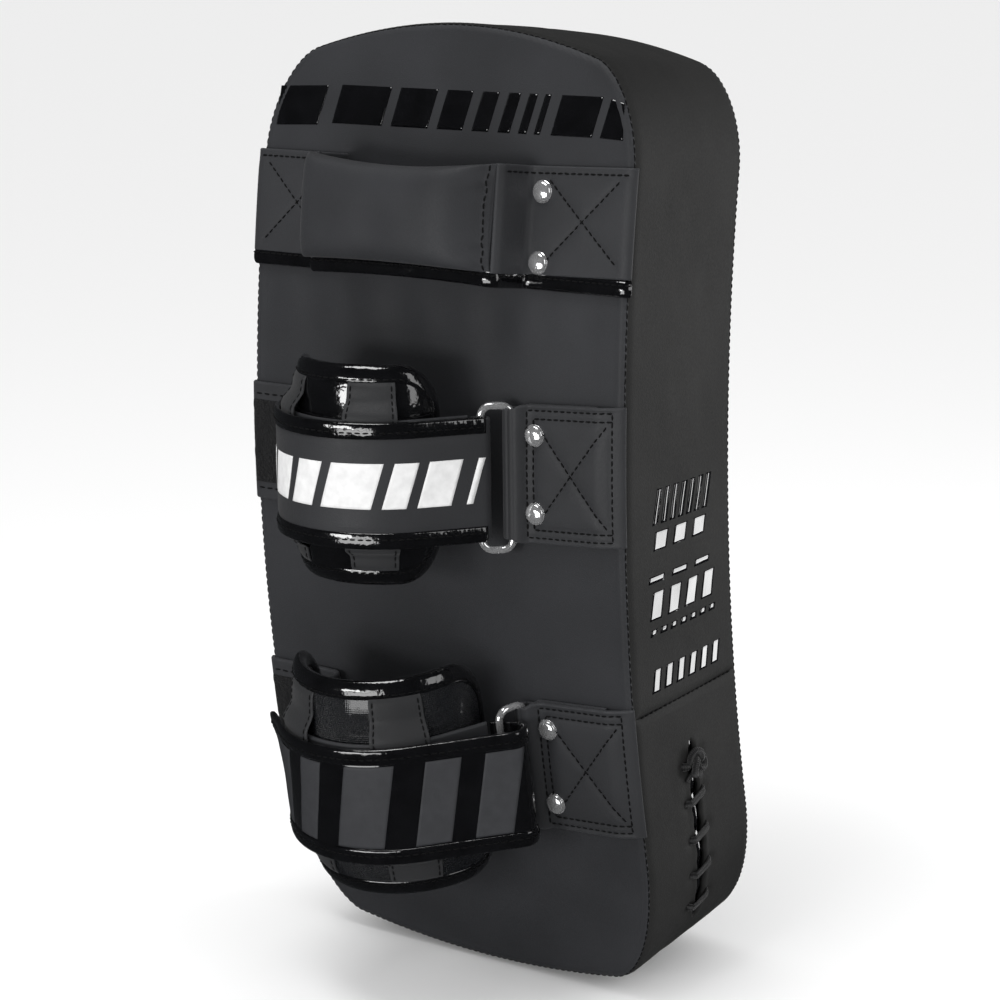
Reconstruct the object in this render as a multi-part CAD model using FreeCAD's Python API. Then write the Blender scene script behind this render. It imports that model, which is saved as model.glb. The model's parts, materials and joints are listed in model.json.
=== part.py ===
import FreeCAD, Part
import os
from math import sin, cos, acos, atan2, pi, radians, degrees, hypot
from FreeCAD import Vector, Matrix

# Kick shield (Thai pad).  Millimetres, +Z up, strike face towards +Y, handle face towards -Y.
# The pad is bent along its length: the handle face is convex and the strike face concave.

# ---- pad body ----
WIDTH = 200.0               # across the pad
DEPTH = 77.6                # face to face at mid length
HALF_ARC = 210.0            # half of the handle face's length, measured along the bend
HANDLE_R = 826.0            # bend radius of the handle face
STRIKE_R = 734.0            # bend radius of the strike face
STRIKE_RATIO = 0.951        # strike face length over handle face length
SIDE_TAPER = 0.025          # share of the width lost towards the ends
TOP_CORNER = (24.6, 46.2)   # corner radii across and along, top end
TOP_CROWN = 20.3            # how far the top end falls from its middle to its side
BOTTOM_CORNER = (26.5, 63.4)
BOTTOM_CROWN = 12.3
SKIN = 1.5                  # leather of the pad
ARM_FOAM = 12.0             # soft sheet under the handle face
STRIKE_FOAM = 16.0          # soft sheet under the strike face
CROSS_SEAM = -74.0          # where the two gusset pieces meet, along the bend from the middle
FACE_Y = -19.53             # handle face at mid length
MID_Z = HANDLE_R * sin(HALF_ARC / HANDLE_R)     # mid length above the lowest edge
GAP = 0.35                  # running gap between pieces that move against each other

# ---- strap leather ----
LEATHER = 2.4
HALF_LEATHER = LEATHER / 2
INNER_DROP = 5.2            # inner strap's middle below the flap's middle
INNER_T = 2.2
LOOP_T = 1.0
STRAP_HALF = 26.3           # half of the strap's height
SAG = -2.0                  # the ring and strap hang this much lower than their tab
BIND = 6.8                  # width of the edge binding that shows

# ---- ring ----
WIRE = 1.6                  # wire radius
RING_HALF = 30.4            # centre line, half length
RING_SPAN = 13.0            # centre line, bar to bar
RING_CORNER = 4.6
TAB_BORE = 2.1
TAB_TUBE = 4.1
BAR_X = 46.4                # fixed bar across from the pad's middle
BAR_H = 4.4                 # fixed bar above the face

# ---- grip ----
GRIP_S = 128.0              # along the bend from the middle
TAB_IN, TAB_OUT = 49.0, 98.0
ROLL_HALF = 45.4            # the roll's seams, from the pad's middle
ROLL_LOW, ROLL_HIGH = 19.0, 37.0    # underside and top of the roll above the face
LEFT_SEAM = (22.6, 26.4)    # underside and top where the roll is sewn to the left tab
RIGHT_SEAM = (17.2, 21.0)
SEAM_HALF = 25.0            # half of the roll's height along the bend, at its seams
WAIST = 3.5                 # how much narrower it is at its middle
ROLL_CORNER = (1.2, 7.0)    # corner radius at the seams and at the middle
PLATE_T = 2.3               # leather of the grip's tabs
BINDING_TOP = 6.8           # height of the patent binding along the grip's lower edge

# ---- lacing ----
LACE = 1.3                  # lace radius
LACE_PITCH = 18.0
LACE_TOP = -96.0
LACE_CROSSES = 5
SLIT = 5.0                  # opening between the two laced edges


def pt(x, h, z=0.0):
    """Point in a strap's own frame: x across, h out of the handle face, z along the bend."""
    return Vector(x, -h, z)


def along(c, r, a):
    """Point at radius r and angle a (degrees, 0 at +x, 90 straight out) from centre c, as (x, h)."""
    return c[0] + r * cos(radians(a)), c[1] + r * sin(radians(a))


def placed(shape, s):
    """Moves a shape from its own frame to arc position s on the handle face."""
    shape = shape.copy()
    shape.rotate(Vector(0, HANDLE_R, 0), Vector(1, 0, 0), -degrees(s / HANDLE_R))
    shape.translate(Vector(0, FACE_Y, MID_Z))
    return shape


def fuse(shapes):
    out = shapes[0]
    for s in shapes[1:]:
        out = out.fuse(s)
    return out.removeSplitter()


def prism(points, z0, z1):
    """Straight prism on (x, h) corner points."""
    ring = [pt(x, h, z0) for x, h in points]
    return Part.Face(Part.makePolygon(ring + ring[:1])).extrude(Vector(0, 0, z1 - z0))


def band(c, r0, r1, a0, a1, z0, z1):
    """Curved strip about c between two radii and two angles."""
    def arc(r, a, b):
        ends = [pt(*along(c, r, q), z0) for q in (a, (a + b) / 2, b)]
        return Part.Arc(*ends).toShape(), ends
    outer, o = arc(r1, a0, a1)
    inner, i = arc(r0, a1, a0)
    wire = Part.Wire([outer, Part.makeLine(o[2], i[0]), inner, Part.makeLine(i[2], o[0])])
    return Part.Face(wire).extrude(Vector(0, 0, z1 - z0))


def strip(p, q, half, z0, z1):
    """Straight strip from p to q, half a thickness each side."""
    length = hypot(q[0] - p[0], q[1] - p[1])
    nx, nh = -(q[1] - p[1]) / length * half, (q[0] - p[0]) / length * half
    return prism([(p[0] + nx, p[1] + nh), (q[0] + nx, q[1] + nh),
                  (q[0] - nx, q[1] - nh), (p[0] - nx, p[1] - nh)], z0, z1)


def rounded_band(c, r0, r1, a0, a1, z0, z1, corner, ends=(True, True)):
    """Curved strip whose four corners, seen from outside, are rounded."""
    solid = band(c, r0, r1, a0, a1, z0, z1)
    mid_r = (r0 + r1) / 2
    turn = degrees(corner / mid_r)
    for end, side, on in ((a0, 1, ends[0]), (a1, -1, ends[1])):
        if not on:
            continue
        a = end + side * turn
        out = Vector(cos(radians(a)), -sin(radians(a)), 0)
        for z, up in ((z0 + corner, -1), (z1 - corner, 1)):
            lo, hi = sorted((a, end - side * 4))
            za, zb = sorted((z, z + up * (corner + 4)))
            block = band(c, r0 - 2, r1 + 2, lo, hi, za, zb)
            x, h = along(c, r0 - 8, a)
            round_bar = Part.makeCylinder(corner, r1 - r0 + 16, pt(x, h, z), out)
            solid = solid.cut(block.cut(round_bar))
    return solid


def revolved(c, profile, a0, a1):
    """Turns a closed (radius, z) outline about the strap arch's own axis, from angle a0 to a1."""
    x, h = c
    start = [Vector(x + r * cos(radians(a0)), -(h + r * sin(radians(a0))), z) for r, z in profile]
    face = Part.Face(Part.makePolygon(start + start[:1]))
    return face.revolve(Vector(x, -h, 0), Vector(0, 0, 1), -(a1 - a0))


def on_face(x0, x1, h0, h1, z0, z1):
    """Plate that follows the bend of the handle face."""
    box = Part.makeBox(x1 - x0, 20 + h1, z1 - z0, Vector(x0, -h1 - 2, z0))
    def drum(h):
        return Part.makeCylinder(HANDLE_R + h, x1 - x0 + 4, Vector(x0 - 2, HANDLE_R, 0), Vector(1, 0, 0))
    return box.common(drum(h1)).cut(drum(h0))


# ---- pad shell and foam ----

def outline(inset):
    """(half-width, arc position) all round the pad's handle face, and the places to split it into edges."""
    points, breaks = [], []
    for crown, corner, up in ((TOP_CROWN, TOP_CORNER, 1), (BOTTOM_CROWN, BOTTOM_CORNER, -1)):
        half = WIDTH / 2 - inset
        length = HALF_ARC - inset
        rx, rz = corner[0] - inset, corner[1] - inset
        side = [(half, (length - rz) * k / 6) for k in range(6)]
        bend = [(half - rx + rx * cos(k * pi / 48), length - rz + rz * sin(k * pi / 48)) for k in range(25)]
        end = [((half - rx) * (1 - k / 8), length) for k in range(1, 9)]
        quarter = []
        for x, s in side + bend + end:
            s -= crown * (x / half) ** 2 * (s / length) ** 2
            quarter.append((x * (1 - SIDE_TAPER * (s / length) ** 2), up * s))
        whole = quarter + [(-x, s) for x, s in quarter[-2::-1]]
        cuts = [0, 6, 14, 22, 30, 38, 46, 54, 62, 70]
        if up < 0:
            whole = whole[::-1]
        breaks += [len(points) + k for k in cuts]
        points += whole[:-1]
    return points, breaks


def wall_point(x, s, share):
    """Point on the gusset's wall, share of the way from the handle face to the strike face."""
    a, b = s / HANDLE_R, s * STRIKE_RATIO / STRIKE_R
    near = Vector(x, HANDLE_R * (1 - cos(a)), HANDLE_R * sin(a))
    far = Vector(x, DEPTH + STRIKE_R * (1 - cos(b)), STRIKE_R * sin(b))
    return near + (far - near) * share


def pad_block(inset):
    """Everything inside the gusset's ruled wall, run on past both faces."""
    points, breaks = outline(inset)
    wires = []
    for y in (-12.0, DEPTH + 40.0):
        loop = []
        for x, s in points:
            near, far = wall_point(x, s, 0), wall_point(x, s, 1)
            loop.append(near + (far - near) * ((y - near.y) / (far.y - near.y)))
        loop.append(loop[0])
        edges = []
        for i, j in zip(breaks, breaks[1:] + [len(points)]):
            curve = Part.BSplineCurve()
            before, after = loop[(i - 1) % len(points)], loop[(j + 1) % len(points)]
            curve.interpolate(loop[i:j + 1], InitialTangent=loop[i + 1] - before,
                              FinalTangent=after - loop[j - 1])
            edges.append(curve.toShape())
        wires.append(Part.Wire(edges))
    block = Part.makeLoft(wires, True, True)
    block.translate(Vector(0, FACE_Y, MID_Z))
    return block


def handle_drum(depth):
    """Solid on the pad side of the handle face, sunk by depth."""
    return Part.makeCylinder(HANDLE_R - depth, 320, Vector(-160, FACE_Y + HANDLE_R, MID_Z), Vector(1, 0, 0))


def strike_drum(depth):
    """Solid beyond the strike face, grown into the pad by depth."""
    return Part.makeCylinder(STRIKE_R + depth, 320, Vector(-160, FACE_Y + DEPTH + STRIKE_R, MID_Z),
                             Vector(1, 0, 0))


def slab(z0, z1):
    return Part.makeBox(320, 320, z1 - z0, Vector(-160, -160, z0))


def lace_line(share):
    """Gusset points from the top of the lacing down round the corner, one each LACE_PITCH."""
    down = sorted([p for p in outline(0.0)[0] if p[0] > 30 and p[1] < 0], key=lambda p: -p[1])
    wall = [wall_point(x, s, share) for x, s in down]
    curve = Part.BSplineCurve()
    curve.interpolate(wall)
    first = curve.parameter(Vector(WIDTH / 2, DEPTH * share, LACE_TOP))
    edge = Part.Edge(curve, first, curve.LastParameter)
    spots = []
    for k in range(LACE_CROSSES * 2 + 2):
        u = edge.getParameterByLength(min(k * LACE_PITCH / 2, edge.Length - 0.1))
        spots.append((edge.valueAt(u), edge.tangentAt(u)))
    return spots


nodes = {}
block, core_block = pad_block(0.0), pad_block(SKIN)
nodes["handle_face_panel"] = block.common(handle_drum(0.0)).cut(handle_drum(SKIN))
nodes["strike_face_panel"] = block.common(strike_drum(SKIN)).cut(strike_drum(0.0))
inner = core_block.common(handle_drum(SKIN)).cut(strike_drum(SKIN))
wall = block.common(handle_drum(SKIN)).cut(strike_drum(SKIN)).cut(core_block)
seam_z = MID_Z + HANDLE_R * sin(CROSS_SEAM / HANDLE_R)
gusset_low = wall.common(slab(-60.0, seam_z))
nodes["gusset_upper"] = wall.common(slab(seam_z, 600.0))
arm_foam = inner.cut(handle_drum(SKIN + ARM_FOAM))
strike_foam = inner.common(strike_drum(SKIN + STRIKE_FOAM))
core_foam = inner.common(handle_drum(SKIN + ARM_FOAM)).cut(strike_drum(SKIN + STRIKE_FOAM))

# Lacing: a slit in the lower gusset at mid depth, a tongue behind it, and a lace that crosses it.
rest = Vector(0, FACE_Y, MID_Z)
spots = [(p + rest, t) for p, t in lace_line(0.5)]
deep = Vector(0, 1, 0)


def outward(tangent):
    n = tangent.cross(deep)
    n.normalize()
    return n if n.x > 0 or n.z < 0 else n * -1


def ribbon(points, half, low, high, chords=False):
    """Boxes along the lacing line, half as wide each way in depth, from low to high off the surface."""
    parts = []
    for (p, t), (q, _) in zip(points, points[1:]):
        length = (q - p).Length + 0.6
        if chords:
            t = (q - p).normalize()
        n = outward(t)
        box = Part.makeBox(length, 2 * half, high - low, Vector(-0.3, -half, low))
        side = n.cross(t)
        m = Matrix(t.x, side.x, n.x, p.x, t.y, side.y, n.y, p.y, t.z, side.z, n.z, p.z, 0, 0, 0, 1)
        parts.append(box.transformed(m))
    return fuse(parts)


slit_spots = spots[:-1]
slit_cut = ribbon(slit_spots, SLIT / 2, -4.0, 4.0)
tongue = ribbon(slit_spots, 9.0, -SKIN - 1.35, -SKIN - 0.25, True)
lace_parts, lace_holes = [], []
cross_half = SLIT / 2 + 4.0
lie = LACE + 0.1
ends = []
for k in range(LACE_CROSSES):
    p, t = spots[2 * k + 1]
    n = outward(t)
    side = n.cross(t)
    over = [p - side * cross_half + t * 1.5 + n * lie, p + side * cross_half - t * 1.5 + n * lie]
    under = [q - n * (lie + SKIN + 1.2 + 0.1 + LACE) for q in over]
    ends.append((over, under))
    lace_holes += [Part.makeCylinder(LACE + 0.25, 9.0, u - n * 3.0, n) for u in under]
chain = []
for k, (over, under) in enumerate(ends):
    a, b = (0, 1) if k % 2 == 0 else (1, 0)
    chain += [under[a], over[a], over[b], under[b]]
for p, q in zip(chain, chain[1:]):
    if (q - p).Length > 0.01:
        lace_parts.append(Part.makeCylinder(LACE, (q - p).Length, p, q - p))
    lace_parts.append(Part.makeSphere(LACE, q))
knot_at, knot_t = spots[0]
knot_n = outward(knot_t)
knot_side = knot_n.cross(knot_t)
first_over = ends[0][0][0]
knot = knot_at + knot_n * 2.0
lace_parts.append(Part.makeSphere(LACE, chain[0]))
lace_parts.append(Part.makeTorus(3.4, LACE + 0.5, knot, knot_n))
lace_parts.append(Part.makeTorus(2.4, LACE + 0.3, knot + knot_n * 0.6 + knot_t * 0.6, knot_n * 4 + knot_side))
lace_parts.append(Part.makeCylinder(LACE, (first_over - knot).Length, knot, first_over - knot))
for way in (-1, 1):
    tail = knot_side * way * 0.55 + knot_t * 0.85
    tail.normalize()
    lace_parts.append(Part.makeCylinder(LACE, 14.0, knot_at + knot_n * lie, tail))
lace = fuse(lace_parts)
holes = fuse(lace_holes)
nodes["gusset_lower"] = gusset_low.cut(slit_cut).cut(holes)
nodes["lacing_tongue"] = tongue.cut(holes)
nodes["lace"] = lace

# Room in the foam for the lace's crossings behind the tongue.
(first, first_t), (last, last_t) = slit_spots[0], slit_spots[-1]
room_spots = [(first - first_t * 3.5, first_t)] + slit_spots + [(last + last_t * 3.5, last_t)]
room_line = [p + outward(t) * 3.0 for p, t in room_spots]
room_line += [p - outward(t) * (SKIN + 6.8) for p, t in room_spots[::-1]]
room_y = [p.y for p, t in slit_spots]
room_line = [Vector(p.x, min(room_y) - 10.0, p.z) for p in room_line]
room_face = Part.Face(Part.makePolygon(room_line + room_line[:1]))
lace_room = room_face.extrude(Vector(0, max(room_y) - min(room_y) + 20.0, 0))

# ---- fasteners ----

def rivets(x, heights, top):
    """Domed caps over the leather, and posts with a washer inside the pad."""
    caps, posts, bores = [], [], []
    for z in heights:
        dome = Part.makeSphere(5.6, pt(x, top - 3.0, z))
        above = Part.makeBox(20, 20, 20, pt(x - 10, top + 19.7, z - 10))
        caps.append(dome.common(above))
        posts.append(Part.makeCylinder(1.5, top + SKIN + 1.0, pt(x, -SKIN - 1.0, z), pt(0, 1)))
        posts.append(Part.makeCylinder(5.0, 0.9, pt(x, -SKIN - 1.0, z), pt(0, 1)))
        bores.append(Part.makeCylinder(1.55, top + SKIN + 3.0, pt(x, -SKIN - 2.0, z), pt(0, 1)))
        bores.append(Part.makeCylinder(5.05, 1.0, pt(x, -SKIN - 1.05, z), pt(0, 1)))
    return caps, posts, bores


face_bores = []


def fastened(leather, caps, posts, bores, s):
    """Bores the leather for its rivets and returns it with the caps and posts trimmed to fit."""
    for b in bores:
        leather = leather.cut(b)
        face_bores.append(placed(b, s))
    caps = [c.cut(leather) for c in caps]
    shafts = [posts[0].fuse(posts[1]).cut(caps[0]), posts[2].fuse(posts[3]).cut(caps[1])]
    return leather, Part.makeCompound(caps), Part.makeCompound(shafts)


# ---- the two arm straps ----

def strap_unit(name, s, centre, flap_r, tilt, loose, tip, cuff, keepers, cuff_shift, tall, rivet_z, foot):
    """One arm strap: anchor tab, ring, strap with its flap, and the padded cuff it carries."""
    node = {}
    fixed = (BAR_X, BAR_H)
    free = (BAR_X - RING_SPAN * cos(radians(tilt)), BAR_H + RING_SPAN * sin(radians(tilt)))
    inner_r = flap_r - INNER_DROP
    wrap = WIRE + 0.3 + HALF_LEATHER

    # Ring: a long loop of wire with rounded ends, between the fixed bar and the free bar.
    ux, uh = cos(radians(180 - tilt)), sin(radians(180 - tilt))
    def spot(d, z):
        return pt(fixed[0] + ux * d, fixed[1] + uh * d, z)
    c, hz, w = RING_CORNER, RING_HALF, RING_SPAN
    k = c * (1 - cos(pi / 4))
    edges = [Part.makeLine(spot(0, -hz + c), spot(0, hz - c)),
             Part.Arc(spot(0, hz - c), spot(k, hz - k), spot(c, hz)).toShape(),
             Part.makeLine(spot(c, hz), spot(w - c, hz)),
             Part.Arc(spot(w - c, hz), spot(w - k, hz - k), spot(w, hz - c)).toShape(),
             Part.makeLine(spot(w, hz - c), spot(w, -hz + c)),
             Part.Arc(spot(w, -hz + c), spot(w - k, -hz + k), spot(w - c, -hz)).toShape(),
             Part.makeLine(spot(w - c, -hz), spot(c, -hz)),
             Part.Arc(spot(c, -hz), spot(k, -hz + k), spot(0, -hz + c)).toShape()]
    path = Part.Wire(edges)
    section = Part.Wire(Part.makeCircle(WIRE, spot(0, 0), Vector(0, 0, 1)))
    node["ring"] = path.makePipeShell([section], True, False)

    # Anchor tab: leather folded round the fixed bar and sewn and riveted down on the face.
    plate_top = 4.5
    plate = on_face(50.5, TAB_OUT, 0.05, plate_top, -29.0, 29.0)
    tube = Part.makeCylinder(TAB_TUBE, 52.8, pt(*fixed, -27.5), Vector(0, 0, 1))
    neck = prism([(BAR_X + 1.0, 0.7), (51.0, 0.7), (51.0, plate_top + 0.2), (BAR_X + 1.5, BAR_H + TAB_TUBE - 0.3)],
                 -27.5, 25.3)
    bore = Part.makeCylinder(TAB_BORE, 70.0, pt(*fixed, -35.0), Vector(0, 0, 1))
    tab = plate.fuse(tube).fuse(neck).removeSplitter().cut(bore)
    caps, posts, bores = rivets(57.5, rivet_z, plate_top)
    node["anchor_tab"], node["rivet_caps"], node["rivet_posts"] = fastened(tab, caps, posts, bores, s)

    # Fold: the strap's turn round the free bar; a loose strap bulges past the ring.
    turn = (free[0] + loose[0], free[1] + loose[1])
    turn_r = wrap + loose[2]
    far = hypot(turn[0] - centre[0], turn[1] - centre[1])
    lean = degrees(atan2(turn[1] - centre[1], turn[0] - centre[0]))
    leave = lean + degrees(acos((flap_r - turn_r) / far))
    reach = hypot(free[0] - centre[0], free[1] - centre[1])
    dip = degrees(atan2(free[1] - centre[1], free[0] - centre[0]))
    part_at = dip + degrees(acos((inner_r + wrap) / reach))
    top = along(turn, turn_r, leave)
    arch_end = along(centre, flap_r, leave)
    run = hypot(top[0] - arch_end[0], top[1] - arch_end[1])
    def on_run(d):
        share = 1 - d / run
        return (arch_end[0] + (top[0] - arch_end[0]) * share, arch_end[1] + (top[1] - arch_end[1]) * share)
    crease = 4.0
    z0, z1 = -STRAP_HALF, STRAP_HALF
    fold = [strip(on_run(crease - GAP), top, HALF_LEATHER, z0, z1)]
    under = along(free, wrap, part_at + 180)
    back_x, back_h = cos(radians(part_at + 90)), sin(radians(part_at + 90))
    inner_stop = (under[0] + back_x * 3.0, under[1] + back_h * 3.0)
    fold.append(strip(under, inner_stop, INNER_T / 2, z0, z1))
    if loose[2]:
        fold.append(band(turn, turn_r - HALF_LEATHER, turn_r + HALF_LEATHER, -90.0, leave, z0, z1))
        fold.append(strip(along(free, wrap, 270), along(turn, turn_r, 270), HALF_LEATHER, z0, z1))
        fold.append(band(free, wrap - HALF_LEATHER, wrap + HALF_LEATHER, part_at + 180, 270, z0, z1))
    else:
        fold.append(band(turn, turn_r - HALF_LEATHER, turn_r + HALF_LEATHER, part_at - 180, leave, z0, z1))
    node["strap_fold"] = fuse(fold)

    # Flap: the strap's outer run, back over the arch to its free end, with bound edges.
    start = on_run(crease + GAP)
    r0, r1 = flap_r - HALF_LEATHER, flap_r + HALF_LEATHER
    tip_corner = 13.0
    thin = 0.5
    edge_in = degrees(BIND / flap_r)
    centre_part = rounded_band(centre, r0, r1, leave, tip - edge_in, z0 + BIND, z1 - BIND, tip_corner - BIND,
                               (False, True))
    web = rounded_band(centre, flap_r - thin, flap_r + thin, leave, tip - 1.0, z0 + 0.8, z1 - 0.8,
                       tip_corner - 0.8, (False, True))
    flap = [centre_part, web, strip(arch_end, start, HALF_LEATHER, z0 + BIND, z1 - BIND),
            strip(arch_end, start, thin, z0 + 0.8, z1 - 0.8)]
    flap = fuse(flap)
    whole = rounded_band(centre, r0, r1, leave, tip, z0, z1, tip_corner, (False, True))
    node["flap"] = flap
    node["flap_binding"] = whole.fuse(strip(arch_end, start, HALF_LEATHER, z0, z1)).removeSplitter().cut(flap)

    # Hook patches under the flap, between the keepers.
    (k0, k1), (m0, m1) = keepers
    slide = 6.0
    hook = []
    for a0, a1 in ((k1 + slide + 1.5, m0 - slide - 1.5), (m1 + slide + 1.5, tip - 6.0)):
        if a1 - a0 > 6:
            hook.append(band(centre, r0 - 1.4, r0 - 0.02, a0, a1, -18.0, 18.0))
    node["hook_tape"] = Part.makeCompound(hook) if len(hook) > 1 else hook[0]

    # Inner strap: sewn down at the left of the face, up the arch, and on to the ring.
    half = INNER_T / 2
    bend = 4.0
    lift_off = along(centre, inner_r, foot)
    flow = (cos(radians(foot + 90)), sin(radians(foot + 90)))
    drop = (lift_off[1] - half - bend - 0.1 + bend * sin(radians(foot))) / -flow[1]
    base_top = (lift_off[0] + flow[0] * drop, lift_off[1] + flow[1] * drop)
    knee = along(base_top, bend, foot)
    floor_h = knee[1] - bend - half
    leave_in = along(centre, inner_r, part_at)
    stop = (inner_stop[0] + back_x * 1.6, inner_stop[1] + back_h * 1.6)
    node["inner_strap"] = fuse([
        band(centre, inner_r - half, inner_r + half, part_at, foot, z0, z1),
        strip(base_top, lift_off, half, z0, z1),
        band(knee, bend - half, bend + half, -90.0, foot - 180.0, z0, z1),
        prism([(-TAB_OUT, floor_h), (knee[0], floor_h), (knee[0], floor_h + INNER_T), (-TAB_OUT, floor_h + INNER_T)],
              z0, z1),
        strip(leave_in, stop, half, z0, z1)])
    top_r = inner_r + half
    pile = (LOOP_T - 0.02) / 2
    lift = half + 0.02 + pile
    out_x, out_h = cos(radians(foot)) * lift, sin(radians(foot)) * lift
    base_h = floor_h + INNER_T
    node["loop_tape"] = fuse([
        band(centre, top_r + 0.02, top_r + LOOP_T, k0 - 4.0, foot, -18.5, 18.5),
        strip((base_top[0] + out_x, base_top[1] + out_h), (lift_off[0] + out_x, lift_off[1] + out_h), pile,
              -18.5, 18.5),
        band(knee, bend - half - LOOP_T, bend - half - 0.02, -90.0, foot - 180.0, -18.5, 18.5),
        prism([(1.0 - TAB_OUT, base_h + 0.02), (knee[0], base_h + 0.02), (knee[0], base_h + LOOP_T),
               (1.0 - TAB_OUT, base_h + LOOP_T)], -18.5, 18.5)])

    # Cuff: padded sleeve round the arm, under the strap, free to slide along it.
    a0, a1 = cuff
    face_r = inner_r - half - GAP
    zs = [-tall + tall * i / 12 for i in range(25)]
    def puff(z):
        return face_r - 0.1 - 4.2 * abs(z / tall) ** 5
    def lining_r(z):
        return face_r - 8.2 + 1.4 * abs(z / tall) ** 5
    def layer(outer, inner_edge, z_half=tall):
        line = [z for z in zs if abs(z) <= z_half + 0.01]
        return [(outer(z), z + cuff_shift) for z in line] + [(inner_edge(z), z + cuff_shift) for z in line[::-1]]
    def trimmed(profile, corner=22.0):
        solid = revolved(centre, profile, a0, a1)
        keep = rounded_band(centre, face_r - 14.0, face_r + 4.0, a0, a1, -tall + cuff_shift, tall + cuff_shift, corner)
        return solid.common(keep)
    skin = 1.1
    node["cuff_cover"] = trimmed(layer(puff, lambda z: puff(z) - skin))
    node["cuff_foam"] = trimmed(layer(lambda z: puff(z) - skin - 0.02, lambda z: lining_r(z) + skin + 0.02, tall - 2.5))
    node["cuff_lining"] = trimmed(layer(lambda z: lining_r(z) + skin, lining_r))
    rim_deg = degrees(1.0 / face_r)
    in_deg = degrees(6.5 / face_r)
    shell = revolved(centre, [(puff(z) + 0.9, z * 1.02 + cuff_shift) for z in zs]
                     + [(lining_r(z) - 0.9, z * 1.02 + cuff_shift) for z in zs[::-1]], a0 - rim_deg, a1 + rim_deg)
    shell = shell.common(rounded_band(centre, face_r - 14.0, face_r + 4.0, a0 - rim_deg, a1 + rim_deg,
                                      -tall * 1.02 + cuff_shift, tall * 1.02 + cuff_shift, 23.0))
    window = rounded_band(centre, face_r - 14.0, face_r + 4.0, a0 + in_deg, a1 - in_deg,
                          -tall + 6.5 + cuff_shift, tall - 6.5 + cuff_shift, 16.0)
    body = revolved(centre, layer(puff, lining_r), a0, a1).common(
        rounded_band(centre, face_r - 14.0, face_r + 4.0, a0, a1, -tall + cuff_shift, tall + cuff_shift, 22.0))
    path_room = band(centre, face_r, face_r + 4.0, a0 - 5, a1 + 5, -STRAP_HALF - 0.5, STRAP_HALF + 0.5)
    node["cuff_binding"] = shell.cut(window).cut(body).cut(path_room)

    # Keepers: two leather loops on the cuff that hold the strap down.
    over = flap_r - HALF_LEATHER - GAP
    thick = 1.1
    for label, (b0, b1) in (("keeper_right", keepers[0]), ("keeper_left", keepers[1])):
        ramp = [(puff(z) + 0.05 + thick, z) for z in (31.0, 33.3, 35.6, 37.8)]
        outer = [(r, cuff_shift - z) for r, z in ramp[::-1]] + [(over, -27.6), (over, 27.6)]
        outer += [(r, cuff_shift + z) for r, z in ramp]
        inner_line = [(r - thick, z) for r, z in outer[::-1]]
        node[label] = revolved(centre, outer + inner_line, b0, b1)
    for key, shape in node.items():
        on_tab = key in ("anchor_tab", "rivet_caps", "rivet_posts")
        nodes[name + "_" + key] = placed(shape, s if on_tab else s + SAG)


strap_unit("upper", 26.8, (-15.0, 11.0), 46.0, 38.0, (0.0, 0.0, 0.0), 182.0, (12.0, 168.0),
           ((44.5, 75.0), (112.0, 142.0)), 2.0, 45.5, (-16.5, 16.3), 180.0)
strap_unit("lower", -100.8, (-13.0, 17.0), 51.0, 72.0, (8.0, 2.9, 2.8), 156.0, (-14.0, 172.0),
           ((34.5, 64.5), (102.0, 132.0)), 3.0, 48.5, (-17.2, 17.2), 186.0)

# ---- grip ----

def rounded_section(x, h0, h1, z0, z1, r):
    """Rounded rectangle across the grip at x."""
    y0, y1 = -h1, -h0
    pts = []
    for cy, cz, start in ((y1 - r, z1 - r, 0), (y0 + r, z1 - r, 90), (y0 + r, z0 + r, 180), (y1 - r, z0 + r, 270)):
        pts.append([Vector(x, cy + r * cos(radians(start + q)), cz + r * sin(radians(start + q)))
                    for q in (0, 45, 90)])
    edges = []
    for i, arc in enumerate(pts):
        edges.append(Part.Arc(*arc).toShape())
        edges.append(Part.makeLine(arc[2], pts[(i + 1) % 4][0]))
    return Part.Wire(edges)


def roll_section(x, inset):
    """The padded roll's section at x, sunk by inset: blunt at its left seam and tapered to its right one."""
    low, high = LEFT_SEAM if x < 0 else RIGHT_SEAM
    t = abs(x) / ROLL_HALF
    plump = (1 - t ** 6) ** 0.5 if x < 0 else (1 - t ** 4) ** 1.2
    h0 = low + (ROLL_LOW - low) * plump
    h1 = high + (ROLL_HIGH - high) * plump
    half = SEAM_HALF - WAIST * (1 - t * t)
    r = ROLL_CORNER[0] + (ROLL_CORNER[1] - ROLL_CORNER[0]) * plump
    return rounded_section(x, h0 + inset, h1 - inset, inset - half, half - inset, max(r - inset, 0.5))


def roll(inset, stations):
    return Part.makeLoft([roll_section(x, inset) for x in stations], True, False)


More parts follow.
